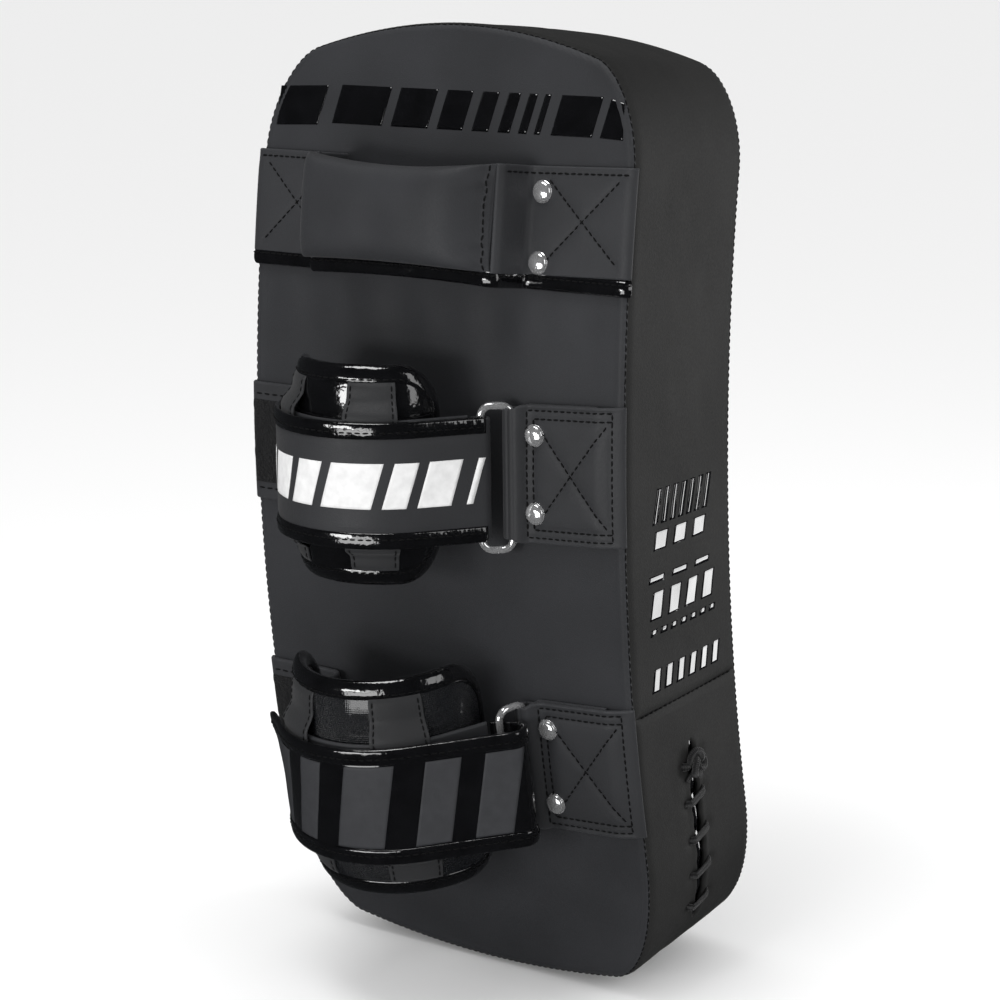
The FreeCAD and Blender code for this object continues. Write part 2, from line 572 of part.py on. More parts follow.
stations = (-39.0, -30.0, 0.0, 24.0, 35.0)
skin_roll = roll(0.0, (-ROLL_HALF,) + stations + (ROLL_HALF,))
edge_line = [(x, BINDING_TOP - SEAM_HALF + WAIST * (1 - (x / ROLL_HALF) ** 2)) for x in range(-44, 45, 8)]
below = Part.makePolygon([Vector(x, -60, z) for x, z in [(-60, edge_line[0][1])] + edge_line
                          + [(60, edge_line[-1][1]), (60, -60), (-60, -60), (-60, edge_line[0][1])]])
below = Part.Face(below).extrude(Vector(0, 60, 0))
cover = skin_roll.cut(roll(1.3, stations))
edging = [cover.common(below)]
grip = {"grip_cover": cover.cut(below), "grip_core": roll(1.35, stations)}
for label, side, knee_top in (("left", -1, LEFT_SEAM[1] - 1.9), ("right", 1, RIGHT_SEAM[1] - 1.9)):
    lo, hi = sorted((side * TAB_IN, side * TAB_OUT))
    z_mid = BINDING_TOP - SEAM_HALF
    plate = on_face(lo, hi, 0.05, PLATE_T, z_mid, SEAM_HALF)
    riser = strip((side * 48.6, 0.5), (side * 46.6, knee_top), 1.2, z_mid, SEAM_HALF)
    tip = strip((side * 46.6, knee_top), (side * 45.5, knee_top), 1.2, z_mid, SEAM_HALF)
    piece = plate.fuse(riser).fuse(tip).removeSplitter()
    caps, posts, bores = rivets(side * 55.0, (-14.4, 14.5), PLATE_T)
    piece, grip["grip_rivets_" + label], grip["grip_posts_" + label] = fastened(piece, caps, posts, bores, GRIP_S)
    grip["grip_tab_" + label] = piece.cut(skin_roll)
    edge = on_face(lo, hi, 0.05, PLATE_T + 0.4, -SEAM_HALF - 0.3, z_mid - 0.05)
    up = strip((side * 48.6, 0.5), (side * 46.0, knee_top + 0.6), 1.5, -SEAM_HALF - 0.3, z_mid - 0.05)
    low = edge.fuse(up).removeSplitter().cut(grip["grip_rivets_" + label])
    for b in bores:
        low = low.cut(b)
    edging.append(low.cut(skin_roll))
grip["grip_binding"] = fuse(edging)
for key, shape in grip.items():
    nodes[key] = placed(shape, GRIP_S)

# Rivet posts pass through the face panel and the foam under it.
bores = Part.makeCompound(face_bores)
nodes["handle_face_panel"] = nodes["handle_face_panel"].cut(bores)
nodes["foam_arm_side"] = arm_foam.cut(bores)
nodes["foam_core"] = core_foam.cut(lace_room)
nodes["foam_strike_side"] = strike_foam

os.makedirs("parts", exist_ok=True)
for name, shape in nodes.items():
    shape.exportStep("parts/" + name + ".step")
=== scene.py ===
import json
from math import acos, atan2, cos, degrees, hypot, pi, radians, sin

import bmesh
import bpy
import numpy as np
from mathutils import Matrix, Vector


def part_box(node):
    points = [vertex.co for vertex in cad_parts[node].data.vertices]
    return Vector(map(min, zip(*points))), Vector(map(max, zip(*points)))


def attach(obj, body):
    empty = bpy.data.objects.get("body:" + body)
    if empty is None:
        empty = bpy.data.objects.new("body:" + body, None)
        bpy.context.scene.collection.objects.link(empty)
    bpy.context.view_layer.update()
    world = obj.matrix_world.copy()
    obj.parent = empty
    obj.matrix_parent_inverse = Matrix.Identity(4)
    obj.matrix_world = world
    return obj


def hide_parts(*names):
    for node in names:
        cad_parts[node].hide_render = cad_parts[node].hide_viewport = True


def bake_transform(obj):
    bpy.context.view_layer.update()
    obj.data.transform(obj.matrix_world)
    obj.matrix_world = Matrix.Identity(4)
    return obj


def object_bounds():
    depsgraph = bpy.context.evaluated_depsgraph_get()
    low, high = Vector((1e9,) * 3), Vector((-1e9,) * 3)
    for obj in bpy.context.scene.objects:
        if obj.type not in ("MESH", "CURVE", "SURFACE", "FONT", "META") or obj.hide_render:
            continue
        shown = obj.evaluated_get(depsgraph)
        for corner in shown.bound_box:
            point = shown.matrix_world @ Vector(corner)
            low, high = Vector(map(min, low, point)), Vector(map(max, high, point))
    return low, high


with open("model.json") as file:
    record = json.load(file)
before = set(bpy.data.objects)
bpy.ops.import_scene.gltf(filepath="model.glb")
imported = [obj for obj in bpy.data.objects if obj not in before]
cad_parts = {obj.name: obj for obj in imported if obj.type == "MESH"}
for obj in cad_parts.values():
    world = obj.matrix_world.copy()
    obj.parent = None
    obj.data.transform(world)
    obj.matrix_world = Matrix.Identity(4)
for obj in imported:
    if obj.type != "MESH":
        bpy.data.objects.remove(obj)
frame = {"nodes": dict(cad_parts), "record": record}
cad_low, cad_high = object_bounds()

# Shapes are worked out in millimetres and written to the meshes in metres.
MM = 0.001

# ---- the pad, with the CAD's driving sizes ----
WIDTH, DEPTH, HALF_ARC = 200.0, 77.6, 210.0
HANDLE_R, STRIKE_R, STRIKE_RATIO, SIDE_TAPER = 826.0, 734.0, 0.951, 0.025
TOP_CORNER, TOP_CROWN = (24.6, 46.2), 20.3
BOTTOM_CORNER, BOTTOM_CROWN = (26.5, 63.4), 12.3
SKIN, CROSS_SEAM, SPINE_END = 1.5, -74.0, 128.0
face_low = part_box("handle_face_panel")[0]
FACE_Y = face_low.y / MM
MID_Z = face_low.z / MM + HANDLE_R * sin(HALF_ARC / HANDLE_R)

# ---- straps, rings, cuffs and grip ----
HALF_LEATHER, INNER_T, INNER_DROP, STRAP_HALF, BIND = 1.2, 2.2, 5.2, 26.3, 6.8
WIRE, RING_HALF, RING_SPAN, RING_CORNER, SAG = 1.6, 30.4, 13.0, 4.6, -2.0
BAR = (46.4, 4.4)
TAB_END, TAB_RISE, CREASE = 99.5, 3.0, 4.0
STRAP_CORNER, CUFF_CORNER, RAMP = 13.0, 22.0, (27.6, 33.5)
GRIP_S, ROLL_HALF, SEAM_HALF, WAIST = 128.0, 45.4, 25.0, 3.5
ROLL_SEAM = ROLL_HALF - 3.4
STRAPS = {
    "upper": dict(tab=26.8, centre=(-15.0, 11.0), r=46.0, tilt=38.0, loose=(0.0, 0.0, 0.0), tip=182.0,
                  cuff=(12.0, 168.0), keepers=((44.5, 75.0), (112.0, 142.0)), shift=2.0, tall=45.5,
                  rivets=(-16.5, 16.3), foot=180.0, curl=0.0),
    "lower": dict(tab=-100.8, centre=(-13.0, 17.0), r=51.0, tilt=72.0, loose=(8.0, 2.9, 2.8), tip=156.0,
                  cuff=(-14.0, 172.0), keepers=((34.5, 64.5), (102.0, 132.0)), shift=3.0, tall=48.5,
                  rivets=(-17.2, 17.2), foot=186.0, curl=5.0),
}
for spec in STRAPS.values():
    spec["s"] = spec["tab"] + SAG


# ---- placing ----

def stack(x, y, z):
    return np.stack(np.broadcast_arrays(np.asarray(x, float), y, z), -1)


def on_pad(x, s, h):
    """Row-frame point at x across, s along the bend and h out of the handle face."""
    t = np.asarray(s, float) / HANDLE_R
    return stack(x, FACE_Y + HANDLE_R - (HANDLE_R + h) * np.cos(t), MID_Z + (HANDLE_R + h) * np.sin(t))


def on_strike(x, s, h):
    """Row-frame point h inside the strike face."""
    t = s * STRIKE_RATIO / STRIKE_R
    return stack(x, FACE_Y + DEPTH + STRIKE_R - (STRIKE_R - h) * np.cos(t), MID_Z + (STRIKE_R - h) * np.sin(t))


def in_strap(x, h, z, s, vector=False):
    """Row-frame point of a strap's own frame, which touches the handle face at s."""
    c, k = cos(s / HANDLE_R), sin(s / HANDLE_R)
    y0 = -np.asarray(h, float) - (0 if vector else HANDLE_R)
    rest = (0, 0) if vector else (HANDLE_R + FACE_Y, MID_Z)
    return stack(x, y0 * c + z * k + rest[0], -y0 * k + z * c + rest[1])


def smooth_step(x, a, b):
    t = np.clip((np.asarray(x, float) - a) / (b - a), 0, 1)
    return t * t * (3 - 2 * t)


def unit(v):
    return v / np.maximum(np.linalg.norm(v, axis=-1, keepdims=True), 1e-12)


def along(c, r, a):
    return np.array([c[0] + r * cos(radians(a)), c[1] + r * sin(radians(a))])


def arc(c, r, a0, a1, step=0.5):
    n = max(3, int(abs(radians(a1 - a0)) * r / step))
    return [along(c, r, a) for a in np.linspace(a0, a1, n)]


def line(p, q, step=0.5):
    n = max(2, int(hypot(q[0] - p[0], q[1] - p[1]) / step))
    return [np.array(p) + (np.array(q) - np.array(p)) * t for t in np.linspace(0, 1, n)]


def bend(p, a, b, q, n=16):
    """Cubic from p to q with handles a and b."""
    p, a, b, q = (np.array(k, float) for k in (p, a, b, q))
    return [p * (1 - t) ** 3 + 3 * a * t * (1 - t) ** 2 + 3 * b * t * t * (1 - t) + q * t ** 3
            for t in np.linspace(0, 1, n)]


def smooth_line(points, times=3):
    """Corner cutting, ends kept."""
    p = np.array(points, float)
    for _ in range(times):
        q = 0.75 * p[:-1] + 0.25 * p[1:]
        r = 0.25 * p[:-1] + 0.75 * p[1:]
        p = np.vstack([p[:1], np.stack([q, r], 1).reshape(-1, p.shape[1]), p[-1:]])
    return p


def lengths(p):
    return np.concatenate([[0], np.cumsum(np.linalg.norm(np.diff(p, axis=0), axis=1))])


class Track:
    """A line in a plane with its length, tangents and normals."""

    def __init__(self, points, flip=1):
        p = [np.array(points[0], float)]
        for q in points[1:]:
            if np.linalg.norm(np.array(q) - p[-1]) > 0.02:
                p.append(np.array(q, float))
        self.p = np.array(p)
        self.l = lengths(self.p)
        t = unit(np.gradient(self.p, self.l, axis=0))
        self.n = np.stack([-t[:, 1], t[:, 0]], -1) * flip
        self.length = self.l[-1]

    def at(self, u):
        p = [np.interp(u, self.l, self.p[:, k]) for k in (0, 1)]
        n = [np.interp(u, self.l, self.n[:, k]) for k in (0, 1)]
        size = np.hypot(*n)
        return p[0], p[1], n[0] / size, n[1] / size


def strap_surface(track, s, follow=None, rise=0.0):
    """Surface of a strap: u along its track, v along the pad; follow lowers it onto the bent face.

    rise carries its far end up the pad, as a tab that was sewn in slightly turned.
    """
    def surf(u, v):
        x, h, nx, nh = track.at(u)
        if follow is not None:
            h = h - v ** 2 / (2 * HANDLE_R) * follow(x)
        v = v + rise * np.clip((np.abs(x) - BAR[0] - 2) / (TAB_END - BAR[0] - 2), 0, 1)
        return in_strap(x, h, v, s), in_strap(nx, nh, 0 * v, s, True)
    return surf


def face_surface(u, v):
    """The handle face: u across, v along the bend."""
    t = np.asarray(v, float) / HANDLE_R
    return on_pad(u, v, 0.0), stack(0 * u, -np.cos(t), np.sin(t))


def arch_surface(centre, r, s, a_start):
    """Cylinder about a strap's arch: u along the arc from angle a_start, v along the pad."""
    def surf(u, v):
        a = np.radians(a_start) - np.asarray(u, float) / r
        x, h = centre[0] + r * np.cos(a), centre[1] + r * np.sin(a)
        return in_strap(x, h, v, s), in_strap(np.cos(a), np.sin(a), 0 * v, s, True)
    return surf


# ---- meshes ----

def piece(name, points, faces, along_mm=None, body="pad", slot=None, finish=None, replaces=(), fill=None,
          blend=None):
    """A mesh object from millimetre points; along_mm is kept on it as an attribute for its material.

    It wears its slot's material, or the finish named. fill is not used, and blend names the two bodies
    that it crosses.
    """
    mesh = bpy.data.meshes.new(name)
    mesh.from_pydata((np.asarray(points) * MM).tolist(), [], [tuple(f) for f in faces])
    if along_mm is not None:
        mesh.attributes.new("along", "FLOAT_VECTOR", "POINT").data.foreach_set(
            "vector", np.asarray(along_mm, np.float32).ravel())
    b = bmesh.new()
    b.from_mesh(mesh)
    bmesh.ops.remove_doubles(b, verts=b.verts, dist=2e-7)
    bmesh.ops.dissolve_degenerate(b, edges=b.edges, dist=1e-7)
    loose = [v for v in b.verts if not v.link_faces]
    bmesh.ops.delete(b, geom=loose, context="VERTS")
    bmesh.ops.recalc_face_normals(b, faces=b.faces)
    b.to_mesh(mesh)
    b.free()
    mesh.shade_smooth()
    obj = bpy.data.objects.new(name, mesh)
    bpy.context.scene.collection.objects.link(obj)
    mesh.materials.append(MATERIAL[finish or slot])
    if replaces:
        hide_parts(*replaces)
    if blend:
        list(blend)
        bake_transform(obj)
    else:
        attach(obj, body)


def quads(nu, nv, start=0, wrap_u=False, wrap_v=False):
    i = np.arange(nu if wrap_u else nu - 1)[:, None]
    j = np.arange(nv if wrap_v else nv - 1)[None]
    i2, j2 = (i + 1) % nu, (j + 1) % nv
    return (np.stack(np.broadcast_arrays(i * nv + j, i2 * nv + j, i2 * nv + j2, i * nv + j2), -1)
            .reshape(-1, 4) + start)


def skin(nu, nv, closed=False):
    """Faces round nu closed sections of nv points, with a cap at each end unless the line is closed."""
    faces = quads(nu, nv, wrap_u=closed, wrap_v=True).tolist()
    return faces if closed else faces + [list(range(nv)), list(range((nu - 1) * nv, nu * nv))]


def shell(a, b, keep=None):
    """Closed shell between two matching grids of points: both sides, and walls round every edge."""
    nu, nv = a.shape[:2]
    n = nu * nv
    f = quads(nu, nv)
    if keep is not None:
        f = f[keep.ravel()]
    edges = np.concatenate([f[:, [k, (k + 1) % 4]] for k in range(4)])
    key = np.sort(edges, 1)
    _, first, count = np.unique(key, axis=0, return_index=True, return_counts=True)
    rim = edges[first[count == 1]]
    walls = np.stack([rim[:, 1], rim[:, 0], rim[:, 0] + n, rim[:, 1] + n], -1)
    return np.concatenate([a.reshape(-1, 3), b.reshape(-1, 3)]), np.concatenate([f, f[:, ::-1] + n, walls])


# Distances from a cut edge at which a sheet's points lie.
EDGE = np.array([0.0, 0.09, 0.32, 0.7, 1.2, 1.9])


def spread(a, b, step, fine=(True, True)):
    """Positions from a to b, close together near the edges."""
    near = a + (EDGE if fine[0] else EDGE[:1])
    far = b - (EDGE if fine[1] else EDGE[:1])
    n = max(1, int(round((far.min() - near.max()) / step)))
    return np.unique(np.round(np.concatenate([near, np.linspace(near.max(), far.min(), n + 1), far]), 5))


def domain(u0, u1, v0, v1, corners=(0.0, 0.0), step=1.2, closed=(True, True), narrow=None):
    """Grid over a strip whose ends may be rounded, and every point's distance to its edge."""
    us = spread(u0, u1, step, closed)
    for c, end, way in ((corners[0], u0, 1), (corners[1], u1, -1)):
        if c:
            ring = end + way * c * (1 - np.cos(np.linspace(0, pi / 2, 12)))
            us = np.unique(np.concatenate([us[np.abs(us - end) > c], ring]))
    inset, slim = np.zeros_like(us), narrow(us) if narrow else np.zeros_like(us)
    for c, end in ((corners[0], u0), (corners[1], u1)):
        du = np.abs(us - end)
        m = du < c
        inset[m] = c - np.sqrt(np.maximum(c * c - (c - du[m]) ** 2, 0))
    w = (spread(v0, v1, step) - v0) / (v1 - v0)
    lo, hi = v0 + inset + slim, v1 - inset - slim
    U = us[:, None] + 0 * w
    V = lo[:, None] + (hi - lo)[:, None] * w
    side = np.minimum(V - v0 - slim[:, None], v1 - slim[:, None] - V)
    D = side.copy()
    for c, end, on in ((corners[0], u0, closed[0]), (corners[1], u1, closed[1])):
        if on:
            du = np.abs(U - end)
            D = np.minimum(D, du)
            k = (du < c) & (side < c)
            D[k] = c - np.hypot(c - du[k], c - side[k])
    return U, V, np.maximum(D, 0)


def edge_round(d, r):
    """Quarter circle from 0 at an edge to 1 at distance r."""
    return np.sqrt(np.maximum(1 - (1 - np.minimum(d / r, 1)) ** 2, 0))


def both_sides(u, v, d):
    """The along values for a shell's two sides."""
    return np.concatenate([stack(u, v, d).reshape(-1, 3)] * 2)


def rounding(d, r, low=0.25):
    """Share of a sheet's thickness at distance d from its cut edge."""
    return low + (1 - low) * edge_round(d, r)


def slab(name, surf, grid, top, bottom, **look):
    """Closed leather piece over a surface, from bottom to top off it."""
    U, V, D = grid
    P, N = surf(U, V)
    a, b = (P + N * np.broadcast_to(h, U.shape)[..., None] for h in (top, bottom))
    piece(name, *shell(a, b), both_sides(U, V, D), **look)


def sweep(name, surf, path, section, closed=False, **look):
    """Runs a closed section, given as (inward, out), along a path on a surface; inward is the path's left."""
    path, section = np.array(path, float), np.array(section, float)
    if closed:
        t = unit(np.roll(path, -1, 0) - np.roll(path, 1, 0))
    else:
        t = unit(np.gradient(path, lengths(path), axis=0))
    inward = np.stack([-t[:, 1], t[:, 0]], -1)
    at = path[:, None] + inward[:, None] * section[None, :, :1]
    P, N = surf(at[..., 0], at[..., 1])
    points = (P + N * section[None, :, 1:2]).reshape(-1, 3)
    notes = stack(lengths(path)[:, None], lengths(section), 0.0).reshape(-1, 3)
    piece(name, points, skin(len(path), len(section), closed), notes, **look)


def frames(p, closed=False):
    """Tangents and turning-free normals along a line in space."""
    t = unit(np.roll(p, -1, 0) - np.roll(p, 1, 0)) if closed else unit(np.gradient(p, lengths(p), axis=0))
    n = np.cross(t[0], [0.0, 0.0, 1.0])
    if np.linalg.norm(n) < 0.1:
        n = np.cross(t[0], [0.0, 1.0, 0.0])
    normals = [unit(n)]
    for k in range(1, len(p)):
        n = normals[-1] - t[k] * np.dot(normals[-1], t[k])
        normals.append(unit(n))
    n = np.array(normals)
    return t, n, np.cross(t, n)


def tube(points, r, seg=14, closed=False, flat=None, up=None):
    """Points, faces and lengths of a tube; flat gives the second half-width, across up."""
    p = np.array(points, float)
    t, n, b = frames(p, closed)
    if up is not None:
        n = unit(up - t * np.sum(up * t, -1, keepdims=True))
        b = np.cross(t, n)
    a = np.linspace(0, 2 * pi, seg, endpoint=False)
    r = np.broadcast_to(r, len(p))[:, None, None]
    f = r if flat is None else np.broadcast_to(flat, len(p))[:, None, None]
    ring = p[:, None] + n[:, None] * np.cos(a)[None, :, None] * r + b[:, None] * np.sin(a)[None, :, None] * f
    notes = stack(lengths(p)[:, None], np.degrees(a), 0.0).reshape(-1, 3)
    return ring.reshape(-1, 3), skin(len(p), seg, closed), notes


def joined(parts):
    """Several (points, faces, along) as one."""
    points, faces, notes, n = [], [], [], 0
    for p, f, a in parts:
        points.append(p)
        notes.append(a)
        faces += [[i + n for i in face] for face in f]
        n += len(p)
    return np.concatenate(points), faces, np.concatenate(notes)


# A stitch: angles round it, places along it from -1 to 1, and its relative radius there.
STITCH_A = np.linspace(0, 2 * pi, 8, endpoint=False)
STITCH_L = np.array([-1.0, -0.86, -0.45, 0.0, 0.45, 0.86, 1.0])
STITCH_R = np.array([0.12, 0.66, 0.97, 1.0, 0.97, 0.66, 0.12])


def stitches(name, runs, body="pad", pitch=3.3, share=0.78, r=0.36, lift=0.04, blend=None):
    """One mesh of thread stitches along lines in space; each run is (points, outward normals)."""
    g = np.random.default_rng(11)
    parts = []
    for p, n in runs:
        p, n = np.asarray(p, float), np.asarray(n, float)
        l = lengths(p)
        count = max(1, int(round(l[-1] / pitch)))
        gap = l[-1] / count
        def at(u, w=p):
            return np.stack([np.interp(u, l, w[:, k]) for k in range(3)], -1)
        mid = (np.arange(count) + 0.5) * gap
        half = gap * share / 2
        t = unit(at(mid + half) - at(mid - half))
        up = unit(at(mid, n))
        side = unit(np.cross(up, t))
        t = unit(t + side * g.normal(0, 0.06, count)[:, None])
        side = unit(np.cross(up, t))
        c = at(mid) + up * lift
        ring = (c[:, None, None] + t[:, None, None] * (STITCH_L * half)[:, None, None]
                + side[:, None, None] * (np.cos(STITCH_A) * STITCH_R[:, None] * r)[..., None]
                + up[:, None, None] * (np.sin(STITCH_A) * STITCH_R[:, None] * r * 0.8
                                       + (0.10 - 0.22 * STITCH_L ** 2)[:, None])[..., None])
        nl, na = len(STITCH_L), len(STITCH_A)
        faces = [[i + k * nl * na for i in f] for k in range(count) for f in skin(nl, na)]
        parts.append((ring.reshape(-1, 3), faces, np.zeros((ring.size // 3, 3))))
    piece(name, *joined(parts), body=body, finish="thread", blend=blend)


def run_on(surf, path, lift=0.0, step=0.8):
    """A stitch line drawn on a surface, as points and normals."""
    path = np.array(path, float)
    l = lengths(path)
    u = np.linspace(0, l[-1], max(2, int(l[-1] / step)))
    q = np.stack([np.interp(u, l, path[:, k]) for k in (0, 1)], -1)
    P, N = surf(q[:, 0], q[:, 1])
    return P + N * lift, N


def ripple(p, size, seed):
    """Smooth, repeatable unevenness from -1 to 1 over points in millimetres."""
    g = np.random.default_rng(seed)
    out = 0.0
    for _ in range(7):
        d = unit(g.normal(size=3)) * 2 * pi / size * g.uniform(0.6, 1.7)
        out = out + np.sin(p @ d + g.uniform(0, 2 * pi))
    return np.clip(out / 7 * 1.9, -1, 1)


def flat_ripple(u, v, size, seed):
    return ripple(stack(u, v, 0 * u), size, seed)


def near_lines(U, V, paths):
    """Distance of every grid point to the nearest of some stitch lines."""
    best = np.full(U.shape, 99.0)
    for path in paths:
        for (x0, y0), (x1, y1) in zip(path[:-1], path[1:]):
            dx, dy = x1 - x0, y1 - y0
            t = np.clip(((U - x0) * dx + (V - y0) * dy) / max(dx * dx + dy * dy, 1e-9), 0, 1)
            best = np.minimum(best, np.hypot(U - x0 - dx * t, V - y0 - dy * t))
    return best


def groove(d, depth, width):
    """How far a stitch line pulls the leather in."""
    return -depth * np.exp(-(d / width) ** 2)


# ---- materials ----

MATERIAL = {}


class Nodes:
    """A material's node tree, with its Principled shader."""

    def __init__(self, name, base, rough, **sockets):
        self.m = bpy.data.materials.new(name)
        self.m.use_nodes = True
        self.t = self.m.node_tree
        self.p = self.t.nodes["Principled BSDF"]
        self.set(self.p, {"Base Color": (*base, 1.0), "Roughness": rough, **sockets})
        MATERIAL[name] = self.m

    def feed(self, socket, value):
        if isinstance(value, bpy.types.NodeSocket):
            self.t.links.new(value, socket)
        else:
            socket.default_value = value

    def set(self, node, values):
        for key, value in values.items():
            self.feed(node.inputs[key], value)

    def add(self, kind, values=None, **settings):
        node = self.t.nodes.new("ShaderNode" + kind)
        for key, value in settings.items():
            setattr(node, key, value)
        self.set(node, values or {})
        return node

    def wear(self, colour=None, rough=None, normal=None, coat=None):
        """Links what varies over the surface to the shader."""
        sockets = {"Base Color": colour, "Roughness": rough, "Normal": normal, "Coat Normal": coat}
        self.set(self.p, {key: value for key, value in sockets.items() if value})

    def place(self, stretch=(1, 1, 1)):
        """Object position in millimetres, times stretch."""
        at = self.add("TexCoord").outputs["Object"]
        return self.add("Mapping", {"Vector": at, "Scale": tuple(k / MM for k in stretch)}).outputs["Vector"]

    def along(self, scale=(1, 1, 1), turn=0.0):
        """Position along and across the piece, in millimetres times scale."""
        at = self.add("Attribute", attribute_name="along").outputs["Vector"]
        return self.add("Mapping", {"Vector": at, "Scale": scale, "Rotation": (0, 0, turn)}).outputs["Vector"]

    def noise(self, at, scale, detail=3.0, rough=0.5):
        values = {"Vector": at, "Scale": scale, "Detail": detail, "Roughness": rough}
        return self.add("TexNoise", values).outputs["Fac"]

    def cells(self, at, scale, **settings):
        values = {"Vector": at, "Scale": scale}
        if settings:
            values["Smoothness"] = 0.6
        return self.add("TexVoronoi", values, **settings).outputs["Distance"]

    def span(self, value, a, b, to=(0.0, 1.0)):
        return self.add("MapRange", {"Value": value, "From Min": a, "From Max": b, "To Min": to[0],
                                     "To Max": to[1]}).outputs["Result"]

    def mix(self, share, a, b):
        node = self.add("Mix", data_type="RGBA")
        colours = (v if isinstance(v, bpy.types.NodeSocket) else (*v, 1.0) for v in (a, b))
        self.set(node, dict(zip((0, 6, 7), (share, *colours))))
        return node.outputs[2]

    def math(self, kind, a, b=0.0):
        return self.add("Math", {0: a, 1: b}, operation=kind).outputs[0]

    def bump(self, height, distance, strength=1.0, under=None):
        values = {"Height": height, "Distance": distance * MM, "Strength": strength}
        return self.add("Bump", {**values, "Normal": under} if under else values).outputs[0]


def tint(c, k):
    return tuple(min(1.0, v * k) for v in c)


def matt_leather(name, base, rough=0.58, sheen=0.06, shine=0.3):
    """Soft-touch PU: fine pebble, slow shade changes, and edges rubbed a little lighter."""
    sockets = {"Sheen Weight": sheen, "Sheen Roughness": 0.45, "Specular IOR Level": shine}
    n = Nodes(name, base, rough, **sockets)
    at = n.place()
    cells = n.cells(at, 1.7, feature="SMOOTH_F1")
    slow, fine = n.noise(at, 0.018, 2.0), n.noise(at, 0.9, 4.0, 0.65)
    shade = n.mix(n.span(slow, 0.35, 0.68), tint(base, 0.86), tint(base, 1.15))
    worn = n.add("Attribute", attribute_name="along").outputs["Vector"]
    d = n.add("SeparateXYZ", {"Vector": worn}).outputs["Z"]
    rub = n.math("MULTIPLY", n.span(d, 1.1, 0.0), n.span(fine, 0.35, 0.75))
    soft = n.bump(n.noise(at, 0.07, 2.0), 0.5, 0.35)
    n.wear(n.mix(rub, shade, tint(base, 1.9)), n.span(fine, 0.25, 0.8, (rough - 0.09, rough + 0.1)),
           n.bump(cells, 0.07, 0.8, soft))


def patent(name, rough=0.09, ripple_mm=0.18, coat=0.035):
    """Patent PU: near black under a clear glossy coat, with soft ripples and fine creases."""
    base = (0.002, 0.002, 0.0024)
    n = Nodes(name, base, rough, **{"Coat Weight": 1.0, "Coat Roughness": coat, "Coat IOR": 1.55})
    at = n.place()
    slow, fold = n.noise(at, 0.11, 3.0, 0.55), n.noise(n.place(stretch=(1, 1, 0.45)), 0.35, 3.0, 0.6)
    marks = n.noise(at, 2.4, 3.0, 0.7)
    uneven = n.bump(fold, ripple_mm, 0.45, n.bump(slow, ripple_mm * 5, 0.5))
    n.wear(n.mix(n.span(slow, 0.3, 0.75), tint(base, 0.7), tint(base, 1.6)),
           n.span(marks, 0.4, 0.85, (rough, rough + 0.12)), uneven, uneven)
    return n


def weave(n, at, pitch):
    """Plain weave height from -1 to 1: threads over and under along both axes."""
    xyz = n.add("SeparateXYZ", {"Vector": at})
    a, b = (n.math("SINE", n.math("MULTIPLY", xyz.outputs[axis], pi / pitch)) for axis in "XY")
    return n.math("MULTIPLY", a, b)


matt_leather("face_leather", (0.0190, 0.0198, 0.0225))
matt_leather("strike_leather", (0.0190, 0.0190, 0.0200))
matt_leather("gusset_leather", (0.0150, 0.0149, 0.0146), rough=0.66, sheen=0.02, shine=0.24)
matt_leather("strap_leather", (0.0205, 0.0212, 0.0236), rough=0.55)
matt_leather("keeper_leather", (0.0175, 0.018, 0.0195), rough=0.55, sheen=0.08)
patent("patent")
patent("patent_panel", rough=0.07, ripple_mm=0.12)

cover = patent("patent_cover", rough=0.24, ripple_mm=0.22, coat=0.05)
threads = weave(cover, cover.along(turn=pi / 4), 0.62)
ripples = cover.bump(cover.noise(cover.place(), 0.1, 3.0), 0.9, 0.25)
cover.wear(cover.mix(cover.span(threads, -0.6, 0.9), (0.0014, 0.0015, 0.002), (0.009, 0.010, 0.0125)),
           normal=cover.bump(threads, 0.16, 0.9), coat=cover.bump(threads, 0.018, 0.5, ripples))

for name, base, rough in (("print_white", (0.6, 0.6, 0.6), 0.42), ("print_matt", (0.029, 0.030, 0.0335), 0.6)):
    ink = Nodes(name, base, rough, **{"Specular IOR Level": 0.35})
    at = ink.place()
    ink.wear(ink.mix(ink.span(ink.noise(at, 0.25), 0.3, 0.7), tint(base, 0.9), tint(base, 1.06)),
             ink.span(ink.noise(at, 1.5), 0.3, 0.7, (rough - 0.06, rough + 0.08)),
             ink.bump(ink.noise(at, 2.2, 4.0, 0.7), 0.05, 0.5))
patent("print_gloss", rough=0.05, ripple_mm=0.05)

for name, base, rough, metallic in (("chrome", (0.9, 0.9, 0.91), 0.07, 0.86),
                                    ("steel", (0.45, 0.45, 0.46), 0.28, 1.0)):
    metal = Nodes(name, base, rough, **{"Metallic": metallic, "Specular IOR Level": 0.9})
    marks = metal.noise(metal.place(stretch=(1, 1, 6)), 1.3, 4.0, 0.7)
    slow = metal.noise(metal.place(), 0.4)
    metal.wear(metal.mix(metal.span(slow, 0.3, 0.7), tint(base, 0.93), base),
               metal.span(marks, 0.35, 0.8, (rough, rough + 0.13)), metal.bump(marks, 0.004, 0.12))

thread = Nodes("thread", (0.002, 0.002, 0.0022), 0.7, **{"Specular IOR Level": 0.2})
twist = thread.add("TexWave", {"Vector": thread.place(), "Scale": 1.6, "Distortion": 1.5}).outputs["Fac"]
thread.wear(thread.mix(twist, (0.001, 0.001, 0.0012), (0.004, 0.004, 0.0045)),
            normal=thread.bump(twist, 0.06, 0.6))

